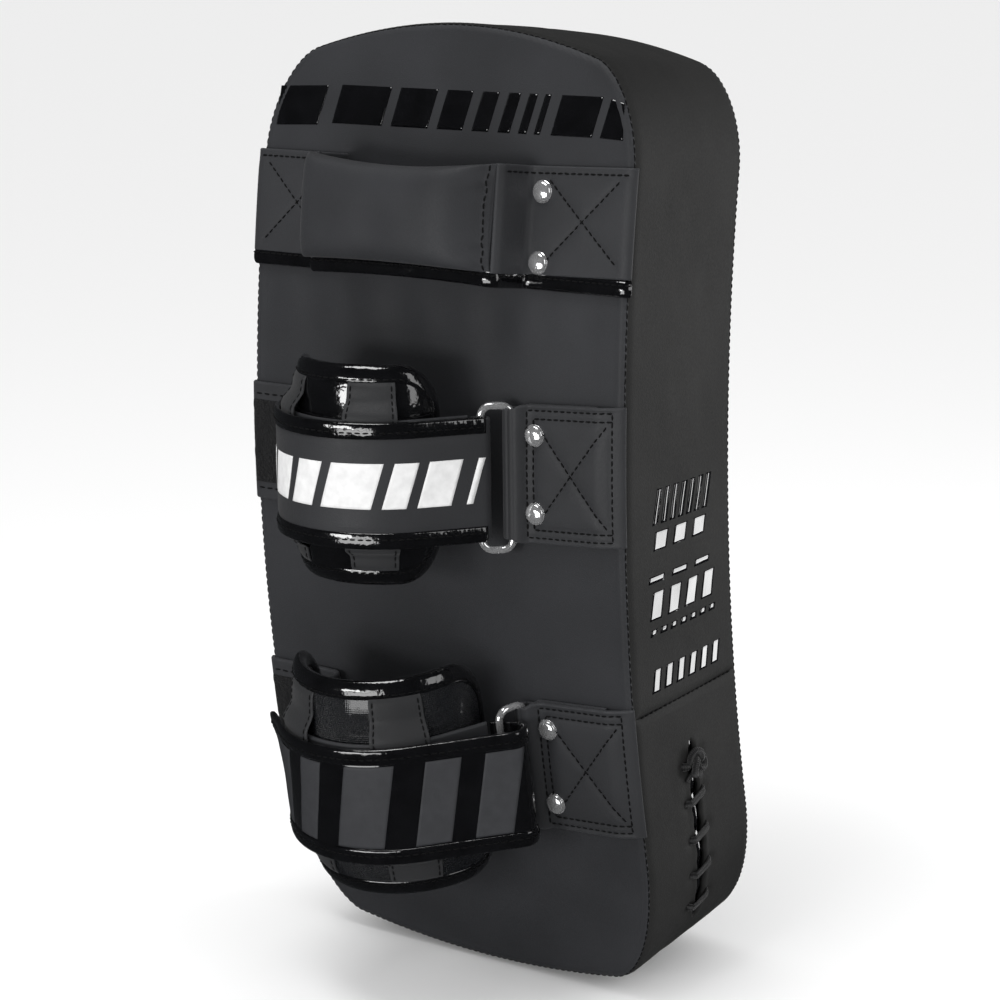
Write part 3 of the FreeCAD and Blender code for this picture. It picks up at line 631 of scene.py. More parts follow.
cord = Nodes("lace_cord", (0.02, 0.02, 0.021), 0.75, **{"Sheen Weight": 0.15, "Sheen Roughness": 0.4})
plait = weave(cord, cord.along((1.0, 0.0105, 1.0), pi / 4), 0.42)
cord.wear(cord.mix(cord.span(plait, -0.7, 0.8), (0.003, 0.003, 0.0035), (0.022, 0.022, 0.023)),
          normal=cord.bump(plait, 0.22, 0.9))

for name, base, scale, depth in (("loop", (0.0035, 0.0035, 0.004), 1.6, 0.7),
                                 ("hook", (0.014, 0.014, 0.015), 1.1, 0.6)):
    tape = Nodes(name, base, 0.9, **{"Sheen Weight": 0.06, "Sheen Roughness": 0.5, "Specular IOR Level": 0.15})
    at = tape.place()
    fuzz = tape.noise(at, scale, 6.0, 0.8)
    tape.wear(tape.mix(tape.span(fuzz, 0.35, 0.7), tint(base, 0.3), tint(base, 2.2)),
              normal=tape.bump(tape.cells(at, 0.8), 0.4, 0.6, tape.bump(fuzz, depth, 1.0)))

cloth = Nodes("lining", (0.018, 0.018, 0.02), 0.82, **{"Sheen Weight": 0.3})
net = weave(cloth, cloth.along(), 0.5)
cloth.wear(cloth.mix(cloth.span(net, -0.8, 0.9), (0.008, 0.008, 0.009), (0.03, 0.03, 0.033)),
           normal=cloth.bump(net, 0.12, 0.9))

for name, base in (("foam", (0.62, 0.6, 0.5)), ("soft_foam", (0.55, 0.56, 0.58))):
    froth = Nodes(name, base, 0.95)
    pores = froth.cells(froth.place(), 0.7)
    froth.wear(froth.mix(froth.span(pores, 0.0, 0.6), tint(base, 0.6), base),
               normal=froth.bump(pores, 0.5, 0.8))

# The CAD pieces that stay visible, such as the rivet posts, wear their slot's material too.
for entry in frame["record"]["subparts"]:
    node = frame["nodes"].get(entry.get("node"))
    if node and entry.get("material_slot") in MATERIAL:
        node.data.materials.clear()
        node.data.materials.append(MATERIAL[entry["material_slot"]])


# ---- pad ----

def half_width(s):
    """Half the pad's width at arc position s, its corners left out."""
    return WIDTH / 2 * (1 - SIDE_TAPER * (s / HALF_ARC) ** 2)


FINE, COARSE = 2080, 520


def outline(inset, count=1040):
    """Evenly spaced points round the pad's face, as (x, s), clockwise from the right-hand side's middle."""
    quarters = []
    for crown, corner, up in ((TOP_CROWN, TOP_CORNER, 1), (BOTTOM_CROWN, BOTTOM_CORNER, -1)):
        half, length = WIDTH / 2 - inset, HALF_ARC - inset
        rx, rz = corner[0] - inset, corner[1] - inset
        side = np.stack([np.full(160, half), np.linspace(0, length - rz, 160, endpoint=False)], -1)
        a = np.linspace(0, pi / 2, 160, endpoint=False)
        turn = np.stack([half - rx + rx * np.cos(a), length - rz + rz * np.sin(a)], -1)
        end = np.stack([np.linspace(half - rx, 0, 120), np.full(120, length)], -1)
        q = np.concatenate([side, turn, end])
        s = q[:, 1] - crown * (q[:, 0] / half) ** 2 * (q[:, 1] / length) ** 2
        x = q[:, 0] * (1 - SIDE_TAPER * (s / length) ** 2)
        quarters.append(np.stack([x, up * s], -1))
    top, low = quarters
    loop = np.concatenate([top, (top * [-1, 1])[-2:0:-1], low * [-1, 1], low[-2:0:-1]])
    loop = np.vstack([loop, loop[:1]])
    l = lengths(loop)
    u = np.linspace(0, l[-1], count, endpoint=False)
    return np.stack([np.interp(u, l, loop[:, k]) for k in (0, 1)], -1)


def wall(xs, share):
    """Point on the gusset, share of the way from the handle face's edge to the strike face's."""
    x, s = xs[..., 0], xs[..., 1]
    near = on_pad(x, s, 0.0)
    return near + (on_strike(x, s, 0.0) - near) * share[..., None]


# Distances from a face's seam at which its rings of points lie.
RINGS = np.array([0.0, 0.25, 0.6, 1.0, 1.5, 2.1, 2.9, 4.0, 5.5, 7.5, 10.0, 13.0])
SEAM_IN, SEAM_R = 0.9, 3.2


def turned_in(d, depth=SEAM_IN, r=SEAM_R):
    """How far a panel has turned down at distance d from its seam."""
    return depth * (1 - np.minimum(d / r, 1)) ** 2.2


def spine_of(ring):
    """For every point of a ring, where the rings close on the face's middle line."""
    return np.stack([0 * ring[:, 0], np.clip(ring[:, 1], -SPINE_END, SPINE_END)], -1)


def face_grid(strike, height):
    """Rings of points from a face's edge to its middle line; height is off the face at every point."""
    rows, ds = [outline(SEAM_IN + d) for d in RINGS], list(RINGS)
    base = rows[-1]
    spine = spine_of(base)
    for t in np.linspace(0, 1, 34)[1:]:
        rows.append(base + (spine - base) * t)
        ds.append(RINGS[-1] + 80 * t)
    q = np.array(rows)
    d = np.array(ds)[:, None] + 0 * q[..., 0]
    x, s = q[..., 0], q[..., 1]
    return (on_strike if strike else on_pad)(x, s, height(x, s, d)), stack(x, s, d)


def ring_shell(a, b, notes, name, **look):
    """Closed shell of a face: rings wrap round, and the inner face lies under the outer one."""
    nu, nv = a.shape[:2]
    n = nu * nv
    f = quads(nu, nv, wrap_v=True)
    j = np.arange(nv)
    rim = np.stack([j, (j + 1) % nv, (j + 1) % nv + n, j + n], -1)
    points = np.concatenate([a.reshape(-1, 3), b.reshape(-1, 3)])
    piece(name, points, np.concatenate([f, f[:, ::-1] + n, rim]), np.concatenate([notes.reshape(-1, 3)] * 2),
          **look)


def soft_face(x, s, d, seed):
    """Leather over foam: rolled edge, a slight lip, and slow unevenness that only sinks in."""
    calm = np.clip((d - 3) / 25, 0, 1)
    lip = 0.22 * np.exp(-((d - 2.4) / 1.3) ** 2)
    pucker = 0.10 * np.exp(-(d / 3.0) ** 2) * np.sin(s * 2 * pi / 3.3 + x * 1.9)
    return -turned_in(d) + lip + pucker - 0.45 * calm * (1 + flat_ripple(x, s, 95, seed)) / 2 * 1.2


def handle_height(x, s, d):
    """The handle face, with soft upright pulls between the grip and the upper strap."""
    pull = np.exp(-((s - 88) / 15) ** 2) * np.clip((d - 8) / 20, 0, 1)
    waves = 0.35 * pull * (np.sin(x / 7.3 + 0.6) + 0.7 * np.sin(x / 4.1 + s / 30))
    return soft_face(x, s, d, 3) + np.minimum(waves - 0.35 * pull, 0.1)


def strike_height(x, s, d):
    return soft_face(x, s, d, 8)


PANEL_FILL = 0.85
for strike, name, height, slot in ((False, "handle", handle_height, "face_leather"),
                                   (True, "strike", strike_height, "strike_leather")):
    outer, notes = face_grid(strike, height)
    inner, _ = face_grid(strike, lambda x, s, d: height(x, s, np.maximum(d, 1.0)) - SKIN)
    ring_shell(outer, inner, notes, name + "_panel", slot=slot, replaces=(name + "_face_panel",),
               fill=PANEL_FILL)

# ---- gusset ----

LOOP = outline(0, FINE)
first = np.argmin(np.abs(LOOP[:, 1] - CROSS_SEAM) + 1e3 * (LOOP[:, 0] < 0))
LOOP = np.roll(LOOP, -first, 0)
LOOP = np.vstack([LOOP, LOOP[:1]])
LOOP_L = lengths(LOOP)
ROUND = LOOP_L[-1]


def round_at(s, right=True):
    """Length round the outline, from the right-hand cross seam, where it passes arc position s on a side."""
    side = LOOP[:, 0] > 50 if right else LOOP[:, 0] < -50
    k = np.argmin(np.abs(LOOP[:, 1] - s) + 1e3 * ~side)
    return LOOP_L[k]


LEFT_CROSS = round_at(CROSS_SEAM, False)


def gusset(u, v):
    """The gusset: u round the outline, v from the handle face's edge to the strike face's."""
    def at(u, v):
        w = np.mod(u, ROUND)
        q = stack(np.interp(w, LOOP_L, LOOP[:, 0]), np.interp(w, LOOP_L, LOOP[:, 1]), 0)[..., :2]
        return wall(q, v / DEPTH)
    u, v = np.broadcast_arrays(np.asarray(u, float), np.asarray(v, float))
    du, dv = at(u + 0.4, v) - at(u - 0.4, v), at(u, v + 0.5) - at(u, v - 0.5)
    return at(u, v), unit(np.cross(dv, du))


MID, CROSS_GAP = DEPTH / 2, 0.08
LACE_TOP, PITCH_LACE, CROSSES, HOLE_V = round_at(-96.0), 18.0, 5, 6.5
if LACE_TOP < ROUND / 2:
    LACE_TOP += ROUND
SLIT_LOW, LACE_LEAN = LACE_TOP - 92.0, 1.5


def slit_half(u):
    """Half the lacing slit's width, pulled in by every crossing."""
    t = np.clip((u - SLIT_LOW) / (LACE_TOP + 1.0 - SLIT_LOW), 0, 1)
    pull = 1 - 0.22 * np.cos((LACE_TOP - u) / PITCH_LACE * 2 * pi + pi) ** 2
    return 3.3 * (4 * t * (1 - t)) ** 0.35 * pull * ((t > 0) & (t < 1))


def gusset_height(U, V, D):
    """Rolled shoulders at the seams, a slight crown, fine puckers at the handle seam and slow unevenness."""
    v = np.minimum(V, DEPTH - V)
    calm = np.clip((D - 4) / 18, 0, 1)
    pucker = np.exp(-(V / 4.0) ** 2) * np.sin(U * 2 * pi / 3.3) * 0.14
    P, _ = gusset(U, V)
    uneven = -0.55 * calm * (1 + ripple(P, 75, 5)) / 2 - 0.25 * calm * (1 + ripple(P, 24, 6)) / 2
    crown = 0.7 * np.clip(v / 30, 0, 1) ** 0.8
    return crown - turned_in(D, 1.2, 4.4) + pucker + uneven


def gusset_panel(name, node, u0, u1, slit):
    """One length of the gusset; the lower one is slit for the lacing and has its holes."""
    u0, u1 = u0 + CROSS_GAP, u1 - CROSS_GAP
    us = spread(u0, u1, 1.4)
    edge = np.array([0.0, 0.15, 0.4, 0.8, 1.3, 2.0, 2.9, 4.0])
    lo, hi = SEAM_IN, DEPTH - SEAM_IN
    flank = np.array([0.01, 0.35, 0.8, 1.4, 2.2, 3.2, 4.6, 6.5, 9.0])
    left = np.linspace(lo + 5.6, MID - 11, 14)
    half = np.concatenate([lo + edge, left, (MID - flank)[::-1]])
    vs = np.concatenate([half, (lo + hi) - half[::-1]]) if slit else np.concatenate(
        [lo + edge, np.linspace(lo + 5.6, hi - 5.6, 36), (hi - edge)[::-1]])
    U, V = np.meshgrid(us, vs, indexing="ij")
    D = np.minimum(np.minimum(V - lo, hi - V), np.minimum(U - u0, u1 - U))
    keep = np.ones((len(us) - 1, len(vs) - 1), bool)
    top = gusset_height(U, V, D)
    if slit:
        opening = slit_half(U)
        side = np.sign(V - MID)
        from_mid = np.abs(V - MID)
        V = V + side * opening * np.exp(-from_mid / 5.0)
        hole = np.zeros_like(U)
        for k in range(CROSSES):
            for way in (-1, 1):
                du = U - (LACE_TOP - PITCH_LACE * (k + 0.5) + LACE_LEAN * way)
                dv = V - (MID + way * HOLE_V)
                hole += 1.1 * np.exp(-(du ** 2 + dv ** 2) / 2.6 ** 2)
        lips = np.clip(opening / 1.2, 0, 1)
        top = top - 0.55 * lips * (1 - np.minimum(from_mid / 1.4, 1)) ** 2 - hole + 0.35 * lips * np.exp(
            -((from_mid - 2.6) / 1.5) ** 2)
        middle = len(half) - 1
        keep[:, middle] = ~((opening[:-1, middle] > 0.12) & (opening[1:, middle] > 0.12))
    P, N = gusset(U, V)
    a, b = P + N * top[..., None], P + N * np.minimum(-SKIN, top - 0.7)[..., None]
    piece(name, *shell(a, b, keep), both_sides(U, V, D), slot="gusset_leather", replaces=(node,),
          fill=PANEL_FILL)


gusset_panel("gusset_over_top", "gusset_upper", 0.0, LEFT_CROSS, False)
gusset_panel("gusset_round_bottom", "gusset_lower", LEFT_CROSS, ROUND, True)

# Threads deep in both face seams, and a row of them at each cross seam. The handle seam's nearly unbroken black
# thread is partly its stitching and partly painted shade that darkens the seam's groove.
us = np.arange(0, ROUND, 1.2)
vs = np.arange(5, DEPTH - 4, 1.0)


def seam_run(u, v, deep):
    P, N = gusset(u, v)
    return P - N * deep, N


stitches("strike_seam_thread", [seam_run(us, DEPTH - SEAM_IN, 1.05)], pitch=2.9)
# Painted shade: black thread laid nearly unbroken deep in the handle seam darkens its groove, besides standing
# for the stitching.
stitches("handle_seam_thread_and_painted_shade", [seam_run(us, SEAM_IN, 1.05)], share=0.9, r=0.34)
stitches("cross_seam_thread", [seam_run(u, vs, 0.35) for u in (0.0, LEFT_CROSS)], pitch=3.4, r=0.4)


# ---- foam ----

def foam_block(name, node, top, bottom, top_strike, bottom_strike, inset, seed, fill):
    """Soft block between two depths, its rim rounded, hollowed a little where the lacing runs."""
    def side(strike, h0, rounded):
        rows = []
        ds = np.concatenate([[0, 0.3, 0.9, 1.8, 3.2, 5.0, 8.0], 12 + 75 * np.linspace(0, 1, 22)])
        base = outline(inset + 12, COARSE)
        spine = spine_of(base)
        for d in ds:
            q = outline(inset + d, COARSE) if d <= 12 else base + (spine - base) * (d - 12) / 75
            if inset > 3:
                w = np.exp(-((q[:, 1] + 146) / 58) ** 6) * (q[:, 0] > 0) * max(0.0, 1 - d / 30)
                q = q - unit(q - spine) * (6.5 * w)[:, None]
            rows.append(q)
        q = np.array(rows)
        d = ds[:, None] + 0 * q[..., 0]
        x, s = q[..., 0], q[..., 1]
        h = h0 + rounded * 2.4 * (1 - edge_round(d, 4.0)) - rounded * 0.3 * (
            1 + flat_ripple(x, s, 60, seed)) / 2 * np.clip(d / 10, 0, 1)
        return (on_strike if strike else on_pad)(x, s, h), stack(x, s, d)
    a, notes = side(top_strike, top, -1)
    b, _ = side(bottom_strike, bottom, -1 if bottom_strike else 1)
    ring_shell(a, b, notes, name, slot="foam", replaces=(node,), fill=fill)


foam_block("foam_by_the_arm", "foam_arm_side", -2.2, -13.2, False, False, 3.0, 21, 0.8)
foam_block("foam_middle", "foam_core", -13.8, -18.0, False, True, 4.6, 22, 0.9)
foam_block("foam_by_the_strike_face", "foam_strike_side", -2.2, -17.2, True, True, 3.0, 23, 0.8)


# ---- lacing ----

def tongue_top(U, V):
    """The tongue bulges between the crossings."""
    beat = 0.5 + 0.5 * np.cos((LACE_TOP - U) / PITCH_LACE * 2 * pi)
    return -SKIN - 0.35 + (0.5 + 1.0 * beat) * np.exp(-((V - MID) / 1.7) ** 2)


U, V, D = domain(SLIT_LOW - 3, LACE_TOP + 3, MID - 9, MID + 9, step=0.9)
lift = tongue_top(U, V)
slab("tongue", gusset, (U, V, D), lift, lift - 0.9, slot="patent",
     replaces=("lacing_tongue",))


def lace_points():
    """The lace's line, half buried: over the slit, down a hole, along behind, and up the next."""
    spots = []
    heights = (-4.6, -1.6, -0.2, 1.0)

    def add(u, v, h, way=0):
        """A spot h off the gusset, facing out over it, sideways in a hole and down behind."""
        P, N = gusset(u, v)
        spots.append((P + N * h, -N if h < -3 else unit(gusset(u, v + 1)[0] - P) * way if h < 0 else N))

    def hole(u, way, order):
        for h in heights[::order]:
            add(u + LACE_LEAN * way, MID + way * (HOLE_V - (1.3 if h > 0.5 else 0.0)), h, way)

    for k in range(CROSSES):
        u = LACE_TOP - PITCH_LACE * (k + 0.5)
        way = -1 if k % 2 == 0 else 1
        hole(u, way, 1)
        for t in (-0.9, 0.0, 0.9):
            add(u - LACE_LEAN * way * t, MID - way * (HOLE_V - 1.3) * t, 1.5)
        hole(u, -way, -1)
    return (smooth_line(q, 3) for q in zip(*spots))


lace_p, lace_up = lace_points()
parts = [tube(lace_p, 0.75, seg=12, flat=1.9, up=lace_up)]
P0, N0 = gusset(LACE_TOP + 0.5, MID)
down = unit(gusset(LACE_TOP - 0.5, MID)[0] - P0)
across = np.cross(N0, down)
t = np.linspace(0, 2 * pi, 90, endpoint=False)
knot = (P0 + N0 * 3.0 + down * 9.5 + across * ((2 + np.cos(3 * t)) * np.cos(2 * t) * 1.5)[:, None]
        + down * ((2 + np.cos(3 * t)) * np.sin(2 * t) * 1.95)[:, None] + N0 * (np.sin(3 * t) * 1.3)[:, None])
parts.append(tube(knot, 1.5, seg=12, closed=True))
for way, long, splay in ((-1, 5.0, 0.5), (1, 6.5, 0.3)):
    tail = [P0 + N0 * 2.6 + down * 11.5 + across * way * 1.2]
    for q in np.linspace(0.15, 1, 8):
        tail.append(P0 + down * (12.5 + long * q) + across * way * (2.4 + splay * long * q * (1 + 0.2 * q))
                    + N0 * (1.2 + 1.9 * (1 - q) ** 2 + 0.35 * sin(5 * q)))
    tail = smooth_line(tail, 2)
    parts.append(tube(tail, 0.62, seg=10, flat=1.65, up=np.broadcast_to(N0, tail.shape)))
piece("lacing_cord", *joined(parts), slot="lace_cord", replaces=("lace",))


# ---- pieces sewn on the handle face ----

def rivet_points(P, N, r=4.75, tall=2.5):
    """A domed cap with a thin flange, standing on point P."""
    dome = np.linspace(0.06, pi / 2, 12)
    rr = np.concatenate([np.sin(dome) * (r - 0.35), [r - 0.3, r - 0.1, r, r, r - 0.4]])
    hh = np.concatenate([0.55 + (tall - 0.55) * np.cos(dome) ** 0.9, [0.42, 0.38, 0.24, -0.2, -0.6]])
    side = unit(np.cross(N, [0.0, 0.0, 1.0]))
    other = np.cross(N, side)
    a = np.linspace(0, 2 * pi, 36, endpoint=False)
    round_p = side * np.cos(a)[:, None] + other * np.sin(a)[:, None]
    ring = P + round_p * rr[:, None, None] + N * hh[:, None, None]
    return ring.reshape(-1, 3), skin(len(rr), len(a)), np.zeros((ring.size // 3, 3))


def rivets(name, surf, spots, base, node):
    parts = []
    for u, v in spots:
        P, N = surf(np.array(float(u)), np.array(float(v)))
        parts.append(rivet_points(P + N * base, N))
    piece(name, *joined(parts), slot="chrome", replaces=(node,))


def rivet_dent(U, V, u, v):
    """How deep a rivet at (u, v) presses the leather in."""
    return 0.5 * np.exp(-(((U - u) ** 2 + (V - v) ** 2) / 6.6 ** 2) ** 2)


def anchor(name, rivet_z, s):
    """A strap's tab: sewn in at the pad's edge, round the ring's bar, and back underneath."""
    top_h, low_h = 3.4, 1.1
    path = bend((99.4, -1.2), (98.7, 0.1), (95.6, 1.6), (88.5, top_h), 14) + line((88.5, top_h), (56, top_h))
    path += bend((56, top_h), (52.5, top_h), (51.2, 7.9), (48.1, 7.25), 14) + arc(BAR, 3.15, 58, 250)
    path += bend((45.3, 1.44), (46.4, 0.95), (49, low_h), (54, low_h), 10) + line((54, low_h), (87.0, low_h))
    track = Track(path, -1)
    surf = strap_surface(track, s, lambda x: smooth_step(x, 48, 56), TAB_RISE)
    far = track.length
    bar_u = track.l[np.argmin(track.p[:, 0])]
    def slim(u):
        return 1.5 * smooth_step(-np.abs(u - bar_u), -11.0, -7.0)
    U, V, D = domain(0, far, -29, 29, step=1.3, narrow=slim)
    on_top = U < bar_u - 8
    outer_run = track.l < 60
    u_in, u_rivet = (np.interp(-x, -track.p[outer_run, 0], track.l[outer_run]) for x in (53.6, 57.5))
    lines = [[(5, 26.7), (u_in, 26.7)], [(5, -26.7), (u_in, -26.7)], [(5, 23.2), (u_in - 3.4, 23.2)],
             [(5, -23.4), (u_in - 3.4, -23.4)], [(5.4, -26.7), (5.4, 26.7)], [(u_in, -26.7), (u_in, 26.7)],
             [(u_in - 3.4, -23.4), (u_in - 3.4, 23.2)],
             [(7.5, -21.5), (u_in - 5, 21)], [(7.5, 21.5), (u_in - 5, -21)]]
    dip = np.where(on_top, groove(near_lines(U, V, lines), 0.42, 0.8), 0)
    puff = np.where(on_top, 0.35 * np.clip(near_lines(U, V, lines) / 5, 0, 1), 0)
    top = 0.98 * rounding(D, 0.7) + dip + puff
    for z in rivet_z:
        top = top - np.where(on_top, rivet_dent(U, V, u_rivet, z), 0)
    bottom = -0.98 * rounding(D, 0.7)
    slab(name + "_tab", surf, (U, V, D), top, bottom, slot="strap_leather",
         replaces=(name + "_anchor_tab",))
    runs = [run_on(surf, path, 0.72) for path in lines[:7]] + [run_on(surf, path, 0.75) for path in lines[7:]]
    stitches(name + "_tab_thread", runs, pitch=3.2)
    rivets(name + "_rivets", surf, [(u_rivet, z) for z in rivet_z], 0.55, name + "_rivet_caps")


def ring_piece(body, s, tilt):
    """The square ring: a rounded rectangle of wire on its bar, tilted up from the face."""
    ux, uh = cos(radians(180 - tilt)), sin(radians(180 - tilt))
    c, hz, w = RING_CORNER, RING_HALF, RING_SPAN
    flat = []
    for (d, z), a0 in (((w - c, hz - c), 0), ((c, hz - c), 90), ((c, c - hz), 180), ((w - c, c - hz), 270)):
        flat += [(d + c * cos(radians(a)), z + c * sin(radians(a))) for a in np.linspace(a0, a0 + 90, 12)]
    flat = np.array(flat + [flat[0]])
    l = lengths(flat)
    u = np.linspace(0, l[-1], 170, endpoint=False)
    d, z = (np.interp(u, l, flat[:, k]) for k in (0, 1))
    p = in_strap(BAR[0] + ux * d, BAR[1] + uh * d, z, s)
    piece(body + "_wire", *tube(p, WIRE, seg=18, closed=True), body=body, slot="chrome", replaces=(body,))


# ---- straps and cuffs ----

def decal(name, surf, shapes, finish, blend=None, lift=0.12, step=1.0):
    """Thin print: each shape is four (u, v) corners in order, laid on a surface."""
    parts = []
    for shape in shapes:
        a, b, c, d = (np.array(k, float) for k in shape)
        nu = max(2, int(max(np.linalg.norm(b - a), np.linalg.norm(c - d)) / step))
        nv = max(2, int(max(np.linalg.norm(d - a), np.linalg.norm(c - b)) / step))
        s, t = np.meshgrid(np.linspace(0, 1, nu), np.linspace(0, 1, nv), indexing="ij")
        s, t = s[..., None], t[..., None]
        q = a * (1 - s) * (1 - t) + b * s * (1 - t) + c * s * t + d * (1 - s) * t
        P, N = surf(q[..., 0], q[..., 1])
        parts.append((*shell(P + N * lift, P - N * 0.1), both_sides(q[..., 0], q[..., 1], 9.0)))
    piece(name, *joined(parts), finish=finish, blend=blend)


def over(surf, height):
    """A surface raised by a height, which is a function of (u, v)."""
    def raised(u, v):
        P, N = surf(u, v)
        return P + N * height(u, v)[..., None], N
    return raised


def bars(u0, u1, v0, v1, shares, slant):
    """A generic row of slanted bars between two heights; shares gives bar, gap, bar, gap along the row."""
    edges = u0 + (u1 - u0) * np.cumsum([0.0] + list(shares)) / sum(shares)
    lean = slant * (v1 - v0)
    return [[(a, v0), (b, v0), (b + lean, v1), (a + lean, v1)] for a, b in zip(edges[::2], edges[1::2])]


# Section of a strap's binding, as (inward from the edge, out of the leather).
BINDING_C = [(BIND, 0.7), (BIND - 0.15, 1.08), (BIND - 0.9, 1.3), (BIND / 2, 1.42), (1.1, 1.35), (0.35, 1.12),
             (-0.1, 0.6),
             (-0.2, 0.0), (-0.1, -0.6), (0.35, -1.0), (1.1, -1.15), (BIND / 2, -1.18), (BIND - 0.9, -1.16),
             (BIND - 0.15, -1.05), (BIND, -0.7)]


def edge_path(u0, u1, half, corner, inset=0.0, step=1.0):
    """Round a strap's free end: in along one edge, round two corners and back along the other."""
    h, c, far = half - inset, max(corner - inset, 0.3), u1 - inset
    a = np.linspace(0, pi / 2, 16)
    path = [(u, -h) for u in np.arange(u0, far - c, step)]
    path += [(far - c + c * sin(t), -h + c - c * cos(t)) for t in a]
    path += [(far, v) for v in np.arange(-h + c + step, h - c, step)]
    path += [(far - c + c * cos(t), h - c + c * sin(t)) for t in a]
    path += [(u, h) for u in np.arange(far - c - step, u0 - 1e-6, -step)]
    return path


def strap(name, spec):
    """The long strap: out from under the inner strap, round the ring and over the arch, with its binding.

    Gives what the inner strap, the cuff and the print need to know of it.
    """
    s, centre, r, tilt, loose = spec["s"], spec["centre"], spec["r"], spec["tilt"], spec["loose"]
    free = (BAR[0] - RING_SPAN * cos(radians(tilt)), BAR[1] + RING_SPAN * sin(radians(tilt)))
    inner_r, wrap = r - INNER_DROP, WIRE + 0.3 + HALF_LEATHER
    turn, turn_r = (free[0] + loose[0], free[1] + loose[1]), wrap + loose[2]
    lean = degrees(atan2(turn[1] - centre[1], turn[0] - centre[0]))
    leave = lean + degrees(acos((r - turn_r) / hypot(turn[0] - centre[0], turn[1] - centre[1])))
    dip = degrees(atan2(free[1] - centre[1], free[0] - centre[0]))
    part_at = dip + degrees(acos((inner_r + wrap) / hypot(free[0] - centre[0], free[1] - centre[1])))
    top, arch_end = along(turn, turn_r, leave), along(centre, r, leave)
    back = np.array([cos(radians(part_at + 90)), sin(radians(part_at + 90))])
    under = along(free, wrap, part_at + 180)
    stop = under + back * 3.0
    run_dir = (arch_end - top) / np.linalg.norm(arch_end - top)
    crease = top + run_dir * CREASE
    start, end = (in_strap(*(crease + run_dir * d), 0.0, s) * MM for d in (-1.5, 5.5))
    bending = (name + "_ring", name + "_flap", tuple(start), tuple(end))

    path = line(stop, under)
    if loose[2]:
        path += arc(free, wrap, part_at + 180, 270) + line(along(free, wrap, 270), along(turn, turn_r, 270))
        path += arc(turn, turn_r, -90, leave)
    else:
        path += arc(turn, turn_r, part_at - 180, leave)
    ring_u = Track(path, -1).length
    path += line(top, arch_end)
    path += arc(centre, r, leave, spec["tip"])
    track = Track(path, -1)
    flat, far = strap_surface(track, s), track.length

    def surf(u, v):
        """The strap's run; a tip that has come loose lifts at its top corner."""
        P, N = flat(u, v)
        lift = spec["curl"] * smooth_step(u, far - 24, far) ** 1.3 * smooth_step(v, -6, 26) ** 1.2
        return P + N * np.broadcast_to(lift, P.shape[:-1])[..., None], N

    start_b = ring_u - 1.0 - (radians(leave + 90) * turn_r if loose[2] else 0.0)
    seed, slot = (31, "strap_leather") if name == "upper" else (37, "patent_panel")

    def leather_top(u, v, d):
        """Outer side: the flap's panel stands a little full and uneven inside its binding."""
        on, panel = smooth_step(u, start_b - 4, start_b + 2), smooth_step(d, BIND - 1.2, BIND + 1.5)
        return 1.0 - on * (0.12 + 0.3 * (1 - panel)) + panel * on * 0.28 * flat_ripple(u, v, 34, seed)

    U, V, D = domain(0, far - 0.6, 0.6 - STRAP_HALF, STRAP_HALF - 0.6, corners=(0, STRAP_CORNER), step=1.5)
    low_h = -1.0 + smooth_step(U, start_b - 4, start_b + 2) * 0.2
    edge = rounding(D, 0.8)
    slab(name + "_strap_leather", surf, (U, V, D), leather_top(U, V, D) * edge, low_h * edge, slot=slot,
         blend=bending, replaces=(name + "_flap", name + "_strap_fold"))
    sweep(name + "_strap_edge", surf, edge_path(start_b, far, STRAP_HALF, STRAP_CORNER), BINDING_C,
          slot="patent",
          blend=bending, replaces=(name + "_flap_binding",))
    runs = [run_on(surf, edge_path(start_b + 1, far, STRAP_HALF, STRAP_CORNER, BIND / 2 + 0.6), 1.34)]
    stitches(name + "_strap_edge_thread", runs, None, pitch=3.4, blend=bending)
    raised = over(surf, lambda u, v: leather_top(u, v, np.minimum(STRAP_HALF - np.abs(v), far - u)))
    return dict(surf=surf, raised=raised, far=far, start_b=start_b, bending=bending, inner_r=inner_r,
                part_at=part_at, back=back, stop=stop)


